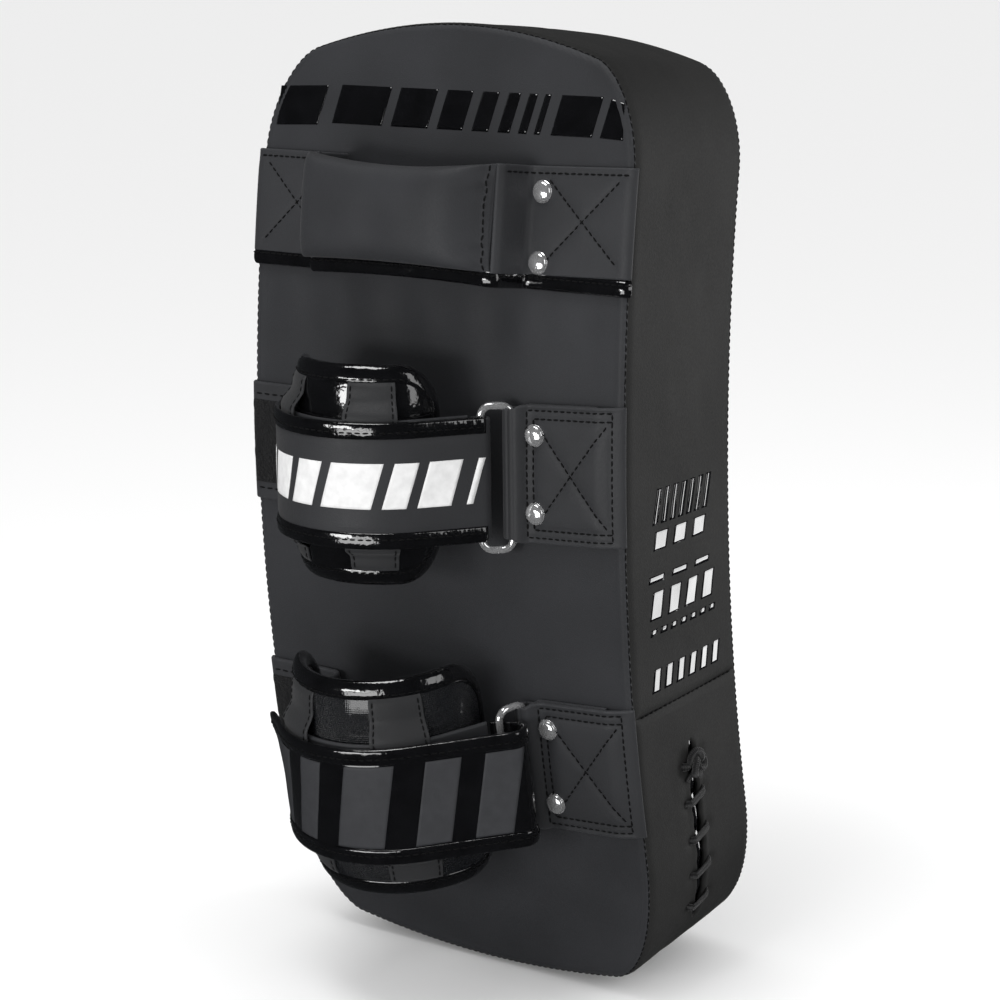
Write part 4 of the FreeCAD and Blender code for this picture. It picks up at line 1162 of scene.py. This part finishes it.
def inner_strap(name, spec, made):
    """The strap under the arch: sewn in at the left, up a knee, round the arch; with the loop tape on it."""
    s, centre, foot = spec["s"], spec["centre"], spec["foot"]
    inner_r, part_at, half, knee_r = made["inner_r"], made["part_at"], INNER_T / 2, 4.0
    lift_off = along(centre, inner_r, foot)
    flow = (cos(radians(foot + 90)), sin(radians(foot + 90)))
    drop = (lift_off[1] - half - knee_r - 0.1 + knee_r * sin(radians(foot))) / -flow[1]
    base_top = (lift_off[0] + flow[0] * drop, lift_off[1] + flow[1] * drop)
    knee = along(base_top, knee_r, foot)
    floor_h = knee[1] - knee_r
    leave_in = along(centre, inner_r, part_at)
    last = made["stop"] + made["back"] * 1.6
    path = bend((-TAB_END, -0.9), (-99, 0.5), (-98, floor_h), (-96, floor_h), 8)
    path += line((-96, floor_h), (knee[0], floor_h)) + arc(knee, knee_r, -90, foot - 180)
    path += line(base_top, lift_off) + arc(centre, inner_r, foot, part_at) + line(leave_in, last)
    track = Track(path, 1)
    surf = strap_surface(track, s, lambda x: smooth_step(-x, 62, 70))
    U, V, D = domain(0, track.length, -STRAP_HALF, STRAP_HALF, step=1.6)
    edge = rounding(D, 0.8, 0.2)
    lines = [[(3, v), (track.length - 4, v)] for v in (-21.2, 21.2)]
    dip = groove(near_lines(U, V, lines), 0.25, 0.7)
    slab(name + "_inner_leather", surf, (U, V, D), half * edge + dip, -half * edge, slot="strap_leather",
         replaces=(name + "_inner_strap",))
    stitches(name + "_inner_thread", [run_on(surf, path, half - 0.18) for path in lines], pitch=4.6, share=0.7)
    k0 = spec["keepers"][0][0]
    u_end = track.l[np.argmin(np.linalg.norm(track.p - along(centre, inner_r, k0 - 4.0), axis=1))]
    U, V, D = domain(2.5, u_end, -18.5, 18.5, step=1.1)
    fuzz = flat_ripple(U, V, 4.0, 41) * 0.14 + flat_ripple(U, V, 9.0, 42) * 0.1
    slab(name + "_loop_pile", surf, (U, V, D), half + 0.05 + (0.72 + fuzz) * edge_round(D, 0.6), half - 0.1,
         slot="loop", replaces=(name + "_loop_tape",))


def rounded_box(u0, u1, v0, v1, r, n, step=None):
    """A closed line round a box with rounded corners of n points; step puts points along its straight sides."""
    a = np.linspace(0, pi / 2, n, endpoint=step is None)
    corners = ((u1 - r, v0 + r), (u1 - r, v1 - r), (u0 + r, v1 - r), (u0 + r, v0 + r))
    path = []
    for k, (u, v) in enumerate(corners):
        way, (u_was, v_was) = (k - 1) * pi / 2, corners[k - 1]
        if step:
            path += [(u_was + r * cos(way) - d * sin(way), v_was + r * sin(way) + d * cos(way))
                     for d in np.arange(0, abs(u - u_was) + abs(v - v_was), step)]
        path += [(u + r * cos(way + q), v + r * sin(way + q)) for q in a]
    return path


def cuff(name, spec, made):
    """The padded arm cuff inside the arch, its keepers round the inner strap and the flap's hook patches."""
    s, centre, shift = spec["s"], spec["centre"], spec["shift"]
    a0, a1 = spec["cuff"]
    R0 = made["inner_r"] - INNER_T / 2 - 0.35
    body = name + "_cuff"
    surf = arch_surface(centre, R0, s, a1)
    long = radians(a1 - a0) * R0
    tall = spec["tall"]
    low, high = shift - tall, shift + tall
    seed = 51 if name == "upper" else 57

    def outer(D):
        return -0.1 - 4.2 * (1 - np.minimum(D, tall) / tall) ** 5

    def inside(D):
        return -8.2 + 1.4 * (1 - np.minimum(D, tall) / tall) ** 5

    def creases(U, V, D):
        fold = np.abs(np.sin(U / 8.5 + 1.4 * flat_ripple(U, V, 60, seed)))
        slow = 0.5 * (1 + flat_ripple(U, V, 26, seed + 1)) / 2
        return -np.clip((D - 6) / 8, 0, 1) * (slow + 0.35 * (1 - fold) ** 3)

    grid = U, V, D = domain(0, long, low, high, corners=(CUFF_CORNER,) * 2, step=1.3)

    def layer(made_as, node, grid, top, bottom, **look):
        slab(name + "_cuff_" + made_as, surf, grid, top, bottom, body=body, replaces=(name + "_cuff_" + node,),
             **look)

    top = outer(D) + creases(U, V, D)
    layer("cover_skin", "cover", grid, top, top - 0.95, slot="patent_cover", fill=0.7,
          finish="patent" if name == "upper" else "patent_cover")
    foam_grid = domain(3, long - 3, low + 3, high - 3, corners=(CUFF_CORNER - 3,) * 2, step=3.0)
    from_rim = foam_grid[2] + 3
    layer("wadding", "foam", foam_grid, outer(from_rim) - 1.9, inside(from_rim) + 1.4, slot="soft_foam",
          fill=0.8)
    top = inside(D) - creases(U, V, D) * 0.5 + 1.05
    layer("lining_cloth", "lining", grid, top, top - 1.0, slot="lining", fill=0.7)

    # Binding round the rim, and its thread.
    rim = rounded_box(0.0, long, low, high, CUFF_CORNER, 30, 1.3)
    section = [(6.6, -2.75), (6.55, -2.2), (5.9, -1.9), (4.2, -2.0), (2.2, -2.55), (0.7, -3.3), (-0.5, -4.4),
               (-0.95, -5.5),
               (-0.7, -6.7), (0.4, -7.7), (2.2, -8.15), (4.6, -8.35), (6.3, -8.3), (6.6, -7.8), (4.0, -7.2),
               (1.6, -6.6),
               (0.9, -5.5), (1.5, -4.5), (4.0, -3.2)]
    sweep(name + "_cuff_edge", surf, rim, section, closed=True, body=body, slot="patent",
          replaces=(name + "_cuff_binding",))
    inset = 4.9
    seam = rounded_box(inset, long - inset, low + inset, high - inset, CUFF_CORNER - inset, 18)
    stitches(name + "_cuff_edge_thread", [run_on(surf, seam + seam[:1], -1.98)], body, pitch=3.4)

    # Keepers: leather loops over the inner strap, let into the cuff's two long edges.
    proud = spec["r"] - HALF_LEATHER - 0.4 - R0

    def keeper_top(v, sink=0.0):
        """Flat over the inner strap, then down to the cover; sink lets the ends in under the binding."""
        z = np.abs(v - shift)
        t = smooth_step(z, np.where(v > shift, RAMP[0] - shift, RAMP[0] + shift), RAMP[1])
        return proud * (1 - t) + (outer(tall - z) + 1.05 - sink * smooth_step(z, tall - 8.0, tall - 6.0)) * t

    for label, (b0, b1) in (("keeper_right", spec["keepers"][0]), ("keeper_left", spec["keepers"][1])):
        u0, u1 = radians(a1 - b1) * R0, radians(a1 - b0) * R0
        U, V, D = domain(u0, u1, shift - tall + 5.7, shift + tall - 5.7, step=1.1)
        lines = [[(w, shift - tall + 7), (w, shift + tall - 7)] for w in (u0 + 1.7, u1 - 1.7)]
        edge = rounding(D, 0.7)
        half = (1.15 - 0.7 * smooth_step(np.abs(V - shift), tall - 8.0, tall - 6.0)) / 2
        mid = keeper_top(V, 0.8) - half
        slab(name + "_" + label + "_loop", surf, (U, V, D),
             mid + half * edge + groove(near_lines(U, V, lines), 0.22, 0.6), mid - half * edge, body=body,
             slot="strap_leather", finish="keeper_leather", replaces=(name + "_" + label,))
        runs = [run_on(over(surf, lambda u, v: keeper_top(v) - 0.12), path) for path in lines]
        stitches(name + "_" + label + "_thread", runs, body, pitch=3.0, r=0.3)

    # Hook patches under the flap.
    (_, k1), (m0, m1) = spec["keepers"]
    tip_at = made["far"] - radians(spec["tip"]) * spec["r"]
    parts = []
    for b0, b1 in ((k1 + 7.5, m0 - 7.5), (m1 + 7.5, spec["tip"] - 6.0)):
        if b1 - b0 > 6:
            U, V, D = domain(tip_at + radians(b0) * spec["r"], tip_at + radians(b1) * spec["r"], -18, 18,
                             step=1.2)
            P, N = made["surf"](U, V)
            low_h = -1.25 - (1.1 + 0.1 * flat_ripple(U, V, 3.0, 61)) * edge_round(D, 0.5)
            parts.append((*shell(P - N * 1.15, P + N * low_h[..., None]), both_sides(U, V, D)))
    piece(name + "_hook_patch", *joined(parts), body=name + "_flap", slot="hook",
          replaces=(name + "_hook_tape",))


made = {}
for name, spec in STRAPS.items():
    made[name] = strap(name, spec)
    inner_strap(name, spec, made[name])
    cuff(name, spec, made[name])
    ring_piece(name + "_ring", spec["s"], spec["tilt"])
    anchor(name, spec["rivets"], spec["tab"])


# ---- grip ----

def grip_tab(side, top_h):
    """Sewn flat by the pad's edge, then up the roll's end to top_h; gives its line for the binding."""
    sign = -1 if side == "left" else 1
    path = bend((TAB_END, -0.9), (99, 0.6), (98, 1.2), (96, 1.2), 8) + line((96, 1.2), (53, 1.2))
    path += bend((53, 1.2), (49.2, 1.2), (48.4, 2.5), (47.9, 6.5), 14) + line((47.9, 6.5), (46.8, top_h - 3))
    path += bend((46.8, top_h - 3), (46.6, top_h - 0.8), (45.9, top_h), (44.6, top_h + 0.1), 8)
    track = Track(np.array(path) * (sign, 1), -sign)
    surf = strap_surface(track, GRIP_S, lambda x: smooth_step(np.abs(x), 49, 55),
                         0.0 if side == "left" else 1.5)
    U, V, D = domain(0, track.length, -19.5, SEAM_HALF, step=1.2)
    u_tab = TAB_END + 0.6 - 53
    lines = [[(3, 22.0), (track.length - 4, 22.0)], [(7, -14), (u_tab - 5, 19.5)],
             [(7, 19.5), (u_tab - 5, -14)]]
    dist = near_lines(U, V, lines)
    spots = [(TAB_END + 0.6 - 55, z) for z in (-14.4, 14.5)]
    top = 1.1 * rounding(D, 0.8) + groove(dist, 0.4, 0.8) + 0.3 * np.clip(dist / 6, 0, 1)
    for u, v in spots:
        top = top - rivet_dent(U, V, u, v)
    slab("grip_" + side + "_tab", surf, (U, V, D), top, -1.1 * rounding(D, 0.8), slot="strap_leather",
         replaces=("grip_tab_" + side,))
    stitches("grip_" + side + "_tab_thread", [run_on(surf, p, 0.86) for p in lines], pitch=3.2)
    rivets("grip_" + side + "_rivets", surf, spots, 0.8, "grip_rivets_" + side)
    return track.p


left, right = grip_tab("left", 24.5), grip_tab("right", 19.1)


def plump(x):
    """Share of the roll's full section at x: blunt on the left, tapered on the right."""
    t = np.minimum(np.abs(x) / (ROLL_HALF * np.where(x < 0, 1.07, 1.0)), 1)
    return np.where(x < 0, np.maximum(1 - t ** 9, 0) ** 0.42, np.maximum(1 - t ** 4, 0) ** 1.2)


def roll_mesh(name, inset, node, slot):
    """The padded roll, blunt at its left seam and tapered and puckered at its right one."""
    ts = np.concatenate([-1 + np.array([0, 0.004, 0.015, 0.035, 0.065, 0.1]), np.linspace(-0.86, 0.9, 60),
                         1 - np.array([0.08, 0.06, 0.045, 0.03, 0.018, 0.008, 0])])
    xs = ts * (ROLL_HALF - inset) * np.where(ts < 0, 1.07, 1.0)
    a = np.linspace(0, 2 * pi, 96, endpoint=False)
    k = plump(xs)
    left = xs < 0
    end_low, end_high = np.where(left, 22.6, 17.2), np.where(left, 26.4, 21.0)
    low = end_low + (19.0 - end_low) * k + inset * k
    high = end_high + (37.0 - end_high) * k - inset * k
    z_high = SEAM_HALF - WAIST * (1 - ts ** 2) - inset
    z_low = -19.2 + 1.2 * (1 - ts ** 2) + inset
    n = 2.0 + 2.2 * (1 - k)
    c, s = np.cos(a)[None], np.sin(a)[None]
    ex = (2 / (n + 0.9))[:, None]
    zc, hc = (z_high + z_low) / 2, (high + low) / 2
    Z = zc[:, None] + (z_high - z_low)[:, None] / 2 * np.sign(c) * np.abs(c) ** ex
    H = hc[:, None] + (high - low)[:, None] / 2 * np.sign(s) * np.abs(s) ** ex
    X = xs[:, None] + 0 * Z
    top_side = np.clip(s, 0, 1)
    wrinkle = (np.exp(-((ROLL_HALF - X) / 7.5) ** 2) * np.sin(Z * 0.78 + 0.5) * 0.75
               * smooth_step(ROLL_HALF - X, 0, 2.5)
               + np.exp(-((ROLL_HALF + X) / 5.0) ** 2) * np.sin(Z * 0.62) * 0.35
               * smooth_step(ROLL_HALF + X, 0, 2.5))
    uneven = 0.45 * ripple(stack(X, Z, H), 30, 71) - 0.3
    seam = groove(np.abs(X - ROLL_SEAM), 0.75, 1.0)
    H = H + (wrinkle + uneven * k[:, None] + seam) * top_side ** 0.5
    X = X - 1.8 * np.maximum(ts, 0)[:, None] ** 6 * (1 - (Z / SEAM_HALF) ** 2)
    notes = stack(X, np.degrees(a), 9.0).reshape(-1, 3)
    piece(name, in_strap(X, H, Z, GRIP_S).reshape(-1, 3), skin(*X.shape), notes, slot=slot, replaces=(node,),
          fill=0.9)
    return X, Z, H


X, Z, H = roll_mesh("grip_roll", 0.0, "grip_cover", "face_leather")
roll_mesh("grip_roll_filling", 1.6, "grip_core", "foam")
k = np.argmin(np.abs(X[:, 24] - ROLL_SEAM))
row = range(4, 45)
P = in_strap(X[k, row], H[k, row] + 0.1, Z[k, row], GRIP_S)
N = np.broadcast_to(in_strap(0.0, 1.0, 0.0, GRIP_S, True), P.shape)
stitches("grip_roll_thread", [(P, N)], pitch=3.2)

# Patent binding, one length along both tabs, up the risers and under the roll.
left, right = left[left[:, 1] < 24.0], right[right[:, 1] < 18.6][::-1]
span = np.linspace(-44.5, 44.5, 60)
under_h = 25.0 + (20.4 - 25.0) * smooth_step(span, -44.5, 44.5) - 1.2 * (1 - (span / 45) ** 2)
x, h = smooth_line(np.concatenate([left, np.stack([span, under_h], -1), right])[::2], 2).T
on_face = smooth_step(np.abs(x), 49, 55)
z = 1.2 * np.maximum(1 - (x / ROLL_HALF) ** 2, 0) - 21.7
p = in_strap(x, h + 0.15 * on_face - z ** 2 / (2 * HANDLE_R) * on_face, z, GRIP_S)
up, out = (in_strap(0.0, *v, GRIP_S, True) for v in ((0.0, 1.0), (1.0, 0.0)))
piece("grip_edge", *tube(p, 3.5, seg=20, flat=1.55, up=np.broadcast_to(up, p.shape)), slot="patent",
      replaces=("grip_binding",))
N = unit(np.cross(np.gradient(p, lengths(p), axis=0), up))
N = N * np.sign(np.sum(N * out, -1, keepdims=True) + 1e-9)
stitches("grip_edge_thread", [(p + up * 1.4 + N * 1.35, N)], pitch=3.2)


# ---- prints, all generic ----

def handle_top(u, v):
    """Height of the handle panel under a print."""
    x, s = np.broadcast_arrays(np.asarray(u, float), np.asarray(v, float))
    half = half_width(s)
    return handle_height(x, s, np.maximum(half - np.abs(x), 0) + 0 * x)


pad_face = over(face_surface, handle_top)
band = [[(-92.5, 163.5), (-69.0, 164.5), (-64.5, 181.5), (-91.5, 180.5)],
        [(55.5, 165.5), (76.0, 165.5), (80.0, 182.0), (59.5, 182.0)],
        [(80.0, 165.5), (91.5, 165.0), (90.5, 180.0), (84.0, 181.5)]]
band += bars(-61.0, 50.0, 165.5, 182.0, (22, 4, 16, 4, 11, 4, 7, 4, 5, 3.5, 3.5, 3, 2.5), slant=0.25)
decal("print_top_band", pad_face, band, "print_gloss")


def gusset_top_height(u, v):
    """Height of the upper gusset panel under a print."""
    u, v = np.broadcast_arrays(np.asarray(u, float), np.asarray(v, float))
    across = np.minimum(v - SEAM_IN, DEPTH - SEAM_IN - v)
    return gusset_height(u, v, np.minimum(across, np.minimum(u - CROSS_GAP, LEFT_CROSS - CROSS_GAP - u)))


wall_face = over(gusset, gusset_top_height)
# Each block of the gusset's print: where, how wide, and its rows as (from, to, how many bars).
BLOCKS = {"high": (8.0, 42.0, ((-13, -5, 3), (-2, 13, 7))),
          "middle": (-28.5, 50.0, ((-13, -10, 7), (-6, 6, 4), (10, 13, 3))),
          "low": (-61.0, 52.0, ((-5, 5, 6),))}
for label, (s_mid, wide, rows) in BLOCKS.items():
    u = round_at(s_mid)
    shapes = []
    for a, b, count in rows:
        lean = 0.25 * (b - a)
        for n in range(count):
            v0 = MID + 1 + wide * (n / count - 0.5)
            v1 = v0 + wide / count * 0.66
            shapes.append([(u + a, v0), (u + b, v0 + lean), (u + b, v1 + lean), (u + a, v1)])
    decal("print_gusset_" + label, wall_face, shapes, "print_gloss")

for name, finish, before, after, half, slant, shares in (
        ("upper", "print_white", 6, 14, 9.5, -0.3, (2.5, 6, 13, 4, 9, 4, 20, 4, 11, 4, 15, 4, 8, 4, 6)),
        ("lower", "print_matt", 19, 8, 18.9, -0.22, (16, 10, 15, 13, 21, 12, 12, 9, 20))):
    m = made[name]
    shapes = bars(m["start_b"] + before, m["far"] - after, -half, half, shares, slant)
    decal("print_" + name + "_flap", m["raised"], shapes, finish, m["bending"])


# ---- camera, floor and light ----

low, high = Vector(cad_low), Vector(cad_high)
centre = (low + high) / 2
AIM = Vector((0.03623, FACE_Y * MM, 0.22114))
AZIMUTH, ELEVATION, ROLL, AWAY, LENS = radians(37.844), radians(13.67), radians(-1.893), 1.2415, 107.2
back = Vector((sin(AZIMUTH) * cos(ELEVATION), -cos(AZIMUTH) * cos(ELEVATION), sin(ELEVATION)))
side = (-back).cross(Vector((0, 0, 1))).normalized()
up = side.cross(-back)
side_r, up_r = side * cos(ROLL) + up * sin(ROLL), up * cos(ROLL) - side * sin(ROLL)
camera = bpy.data.objects.new("camera", bpy.data.cameras.new("camera"))
camera.data.lens, camera.data.sensor_width = LENS, 36.0
camera.data.clip_start, camera.data.clip_end = 0.05, 60.0
camera.matrix_world = Matrix.Translation(AIM + back * AWAY) @ Matrix((side_r, up_r, back)).transposed().to_4x4()
bpy.context.scene.collection.objects.link(camera)
bpy.context.scene.camera = camera

floor_mat = Nodes("floor", (0.93, 0.93, 0.93), 0.9, **{"Specular IOR Level": 0.1})
mesh = bpy.data.meshes.new("floor")
F = 14.0
mesh.from_pydata([(-F, -F, 0), (F, -F, 0), (F, F, 0), (-F, F, 0)], [], [(0, 1, 2, 3)])
mesh.materials.append(floor_mat.m)
floor = bpy.data.objects.new("floor", mesh)
floor.location.z = low.z - 0.001
floor.visible_glossy = False
bpy.context.scene.collection.objects.link(floor)


def softbox(name, at, size, power, aim=(0, 0, 0)):
    data = bpy.data.lights.new(name, "AREA")
    data.shape, data.size, data.size_y, data.energy = "RECTANGLE", size[0], size[1], power
    obj = bpy.data.objects.new(name, data)
    obj.location = centre + Vector(at)
    obj.rotation_euler = (centre + Vector(aim) - obj.location).to_track_quat("-Z", "Y").to_euler()
    bpy.context.scene.collection.objects.link(obj)
    return obj


# Name, place from the pad's middle, size and power; the last one is turned a little off the middle.
boxes = [softbox("overhead", (-0.08, -0.32, 0.95), (0.6, 0.28), 3.6),
         softbox("front", (0.22, -1.25, 0.06), (0.50, 0.16), 1.2),
         softbox("front_low", (0.10, -1.22, -0.22), (0.85, 0.36), 4.2),
         softbox("front_left", (-0.20, -1.25, 0.12), (0.50, 0.20), 3.4),
         softbox("side_right", (1.3, -0.15, 0.45), (0.5, 0.9), 2.9),
         softbox("behind_right", (0.62, 0.78, -0.05), (0.30, 0.95), 4.4, (0.1, 0.03, 0.0))]

world = bpy.data.worlds.new("studio")
bpy.context.scene.world = world
world.use_nodes = True
# A white backdrop that reflections see as nearly black, so that only the softboxes show in the leather.
t = world.node_tree
paths = t.nodes.new("ShaderNodeLightPath")
soft, dark = t.nodes["Background"], t.nodes.new("ShaderNodeBackground")
for node, colour, strength in ((soft, (1.0, 1.0, 1.0, 1.0), 0.95), (dark, (0.9, 0.95, 1.0, 1.0), 0.024)):
    node.inputs["Color"].default_value, node.inputs["Strength"].default_value = colour, strength
pick = t.nodes.new("ShaderNodeMixShader")
t.links.new(paths.outputs["Is Glossy Ray"], pick.inputs[0])
t.links.new(soft.outputs[0], pick.inputs[1])
t.links.new(dark.outputs[0], pick.inputs[2])
t.links.new(pick.outputs[0], t.nodes["World Output"].inputs["Surface"])
bpy.context.scene.view_settings.view_transform = "Standard"
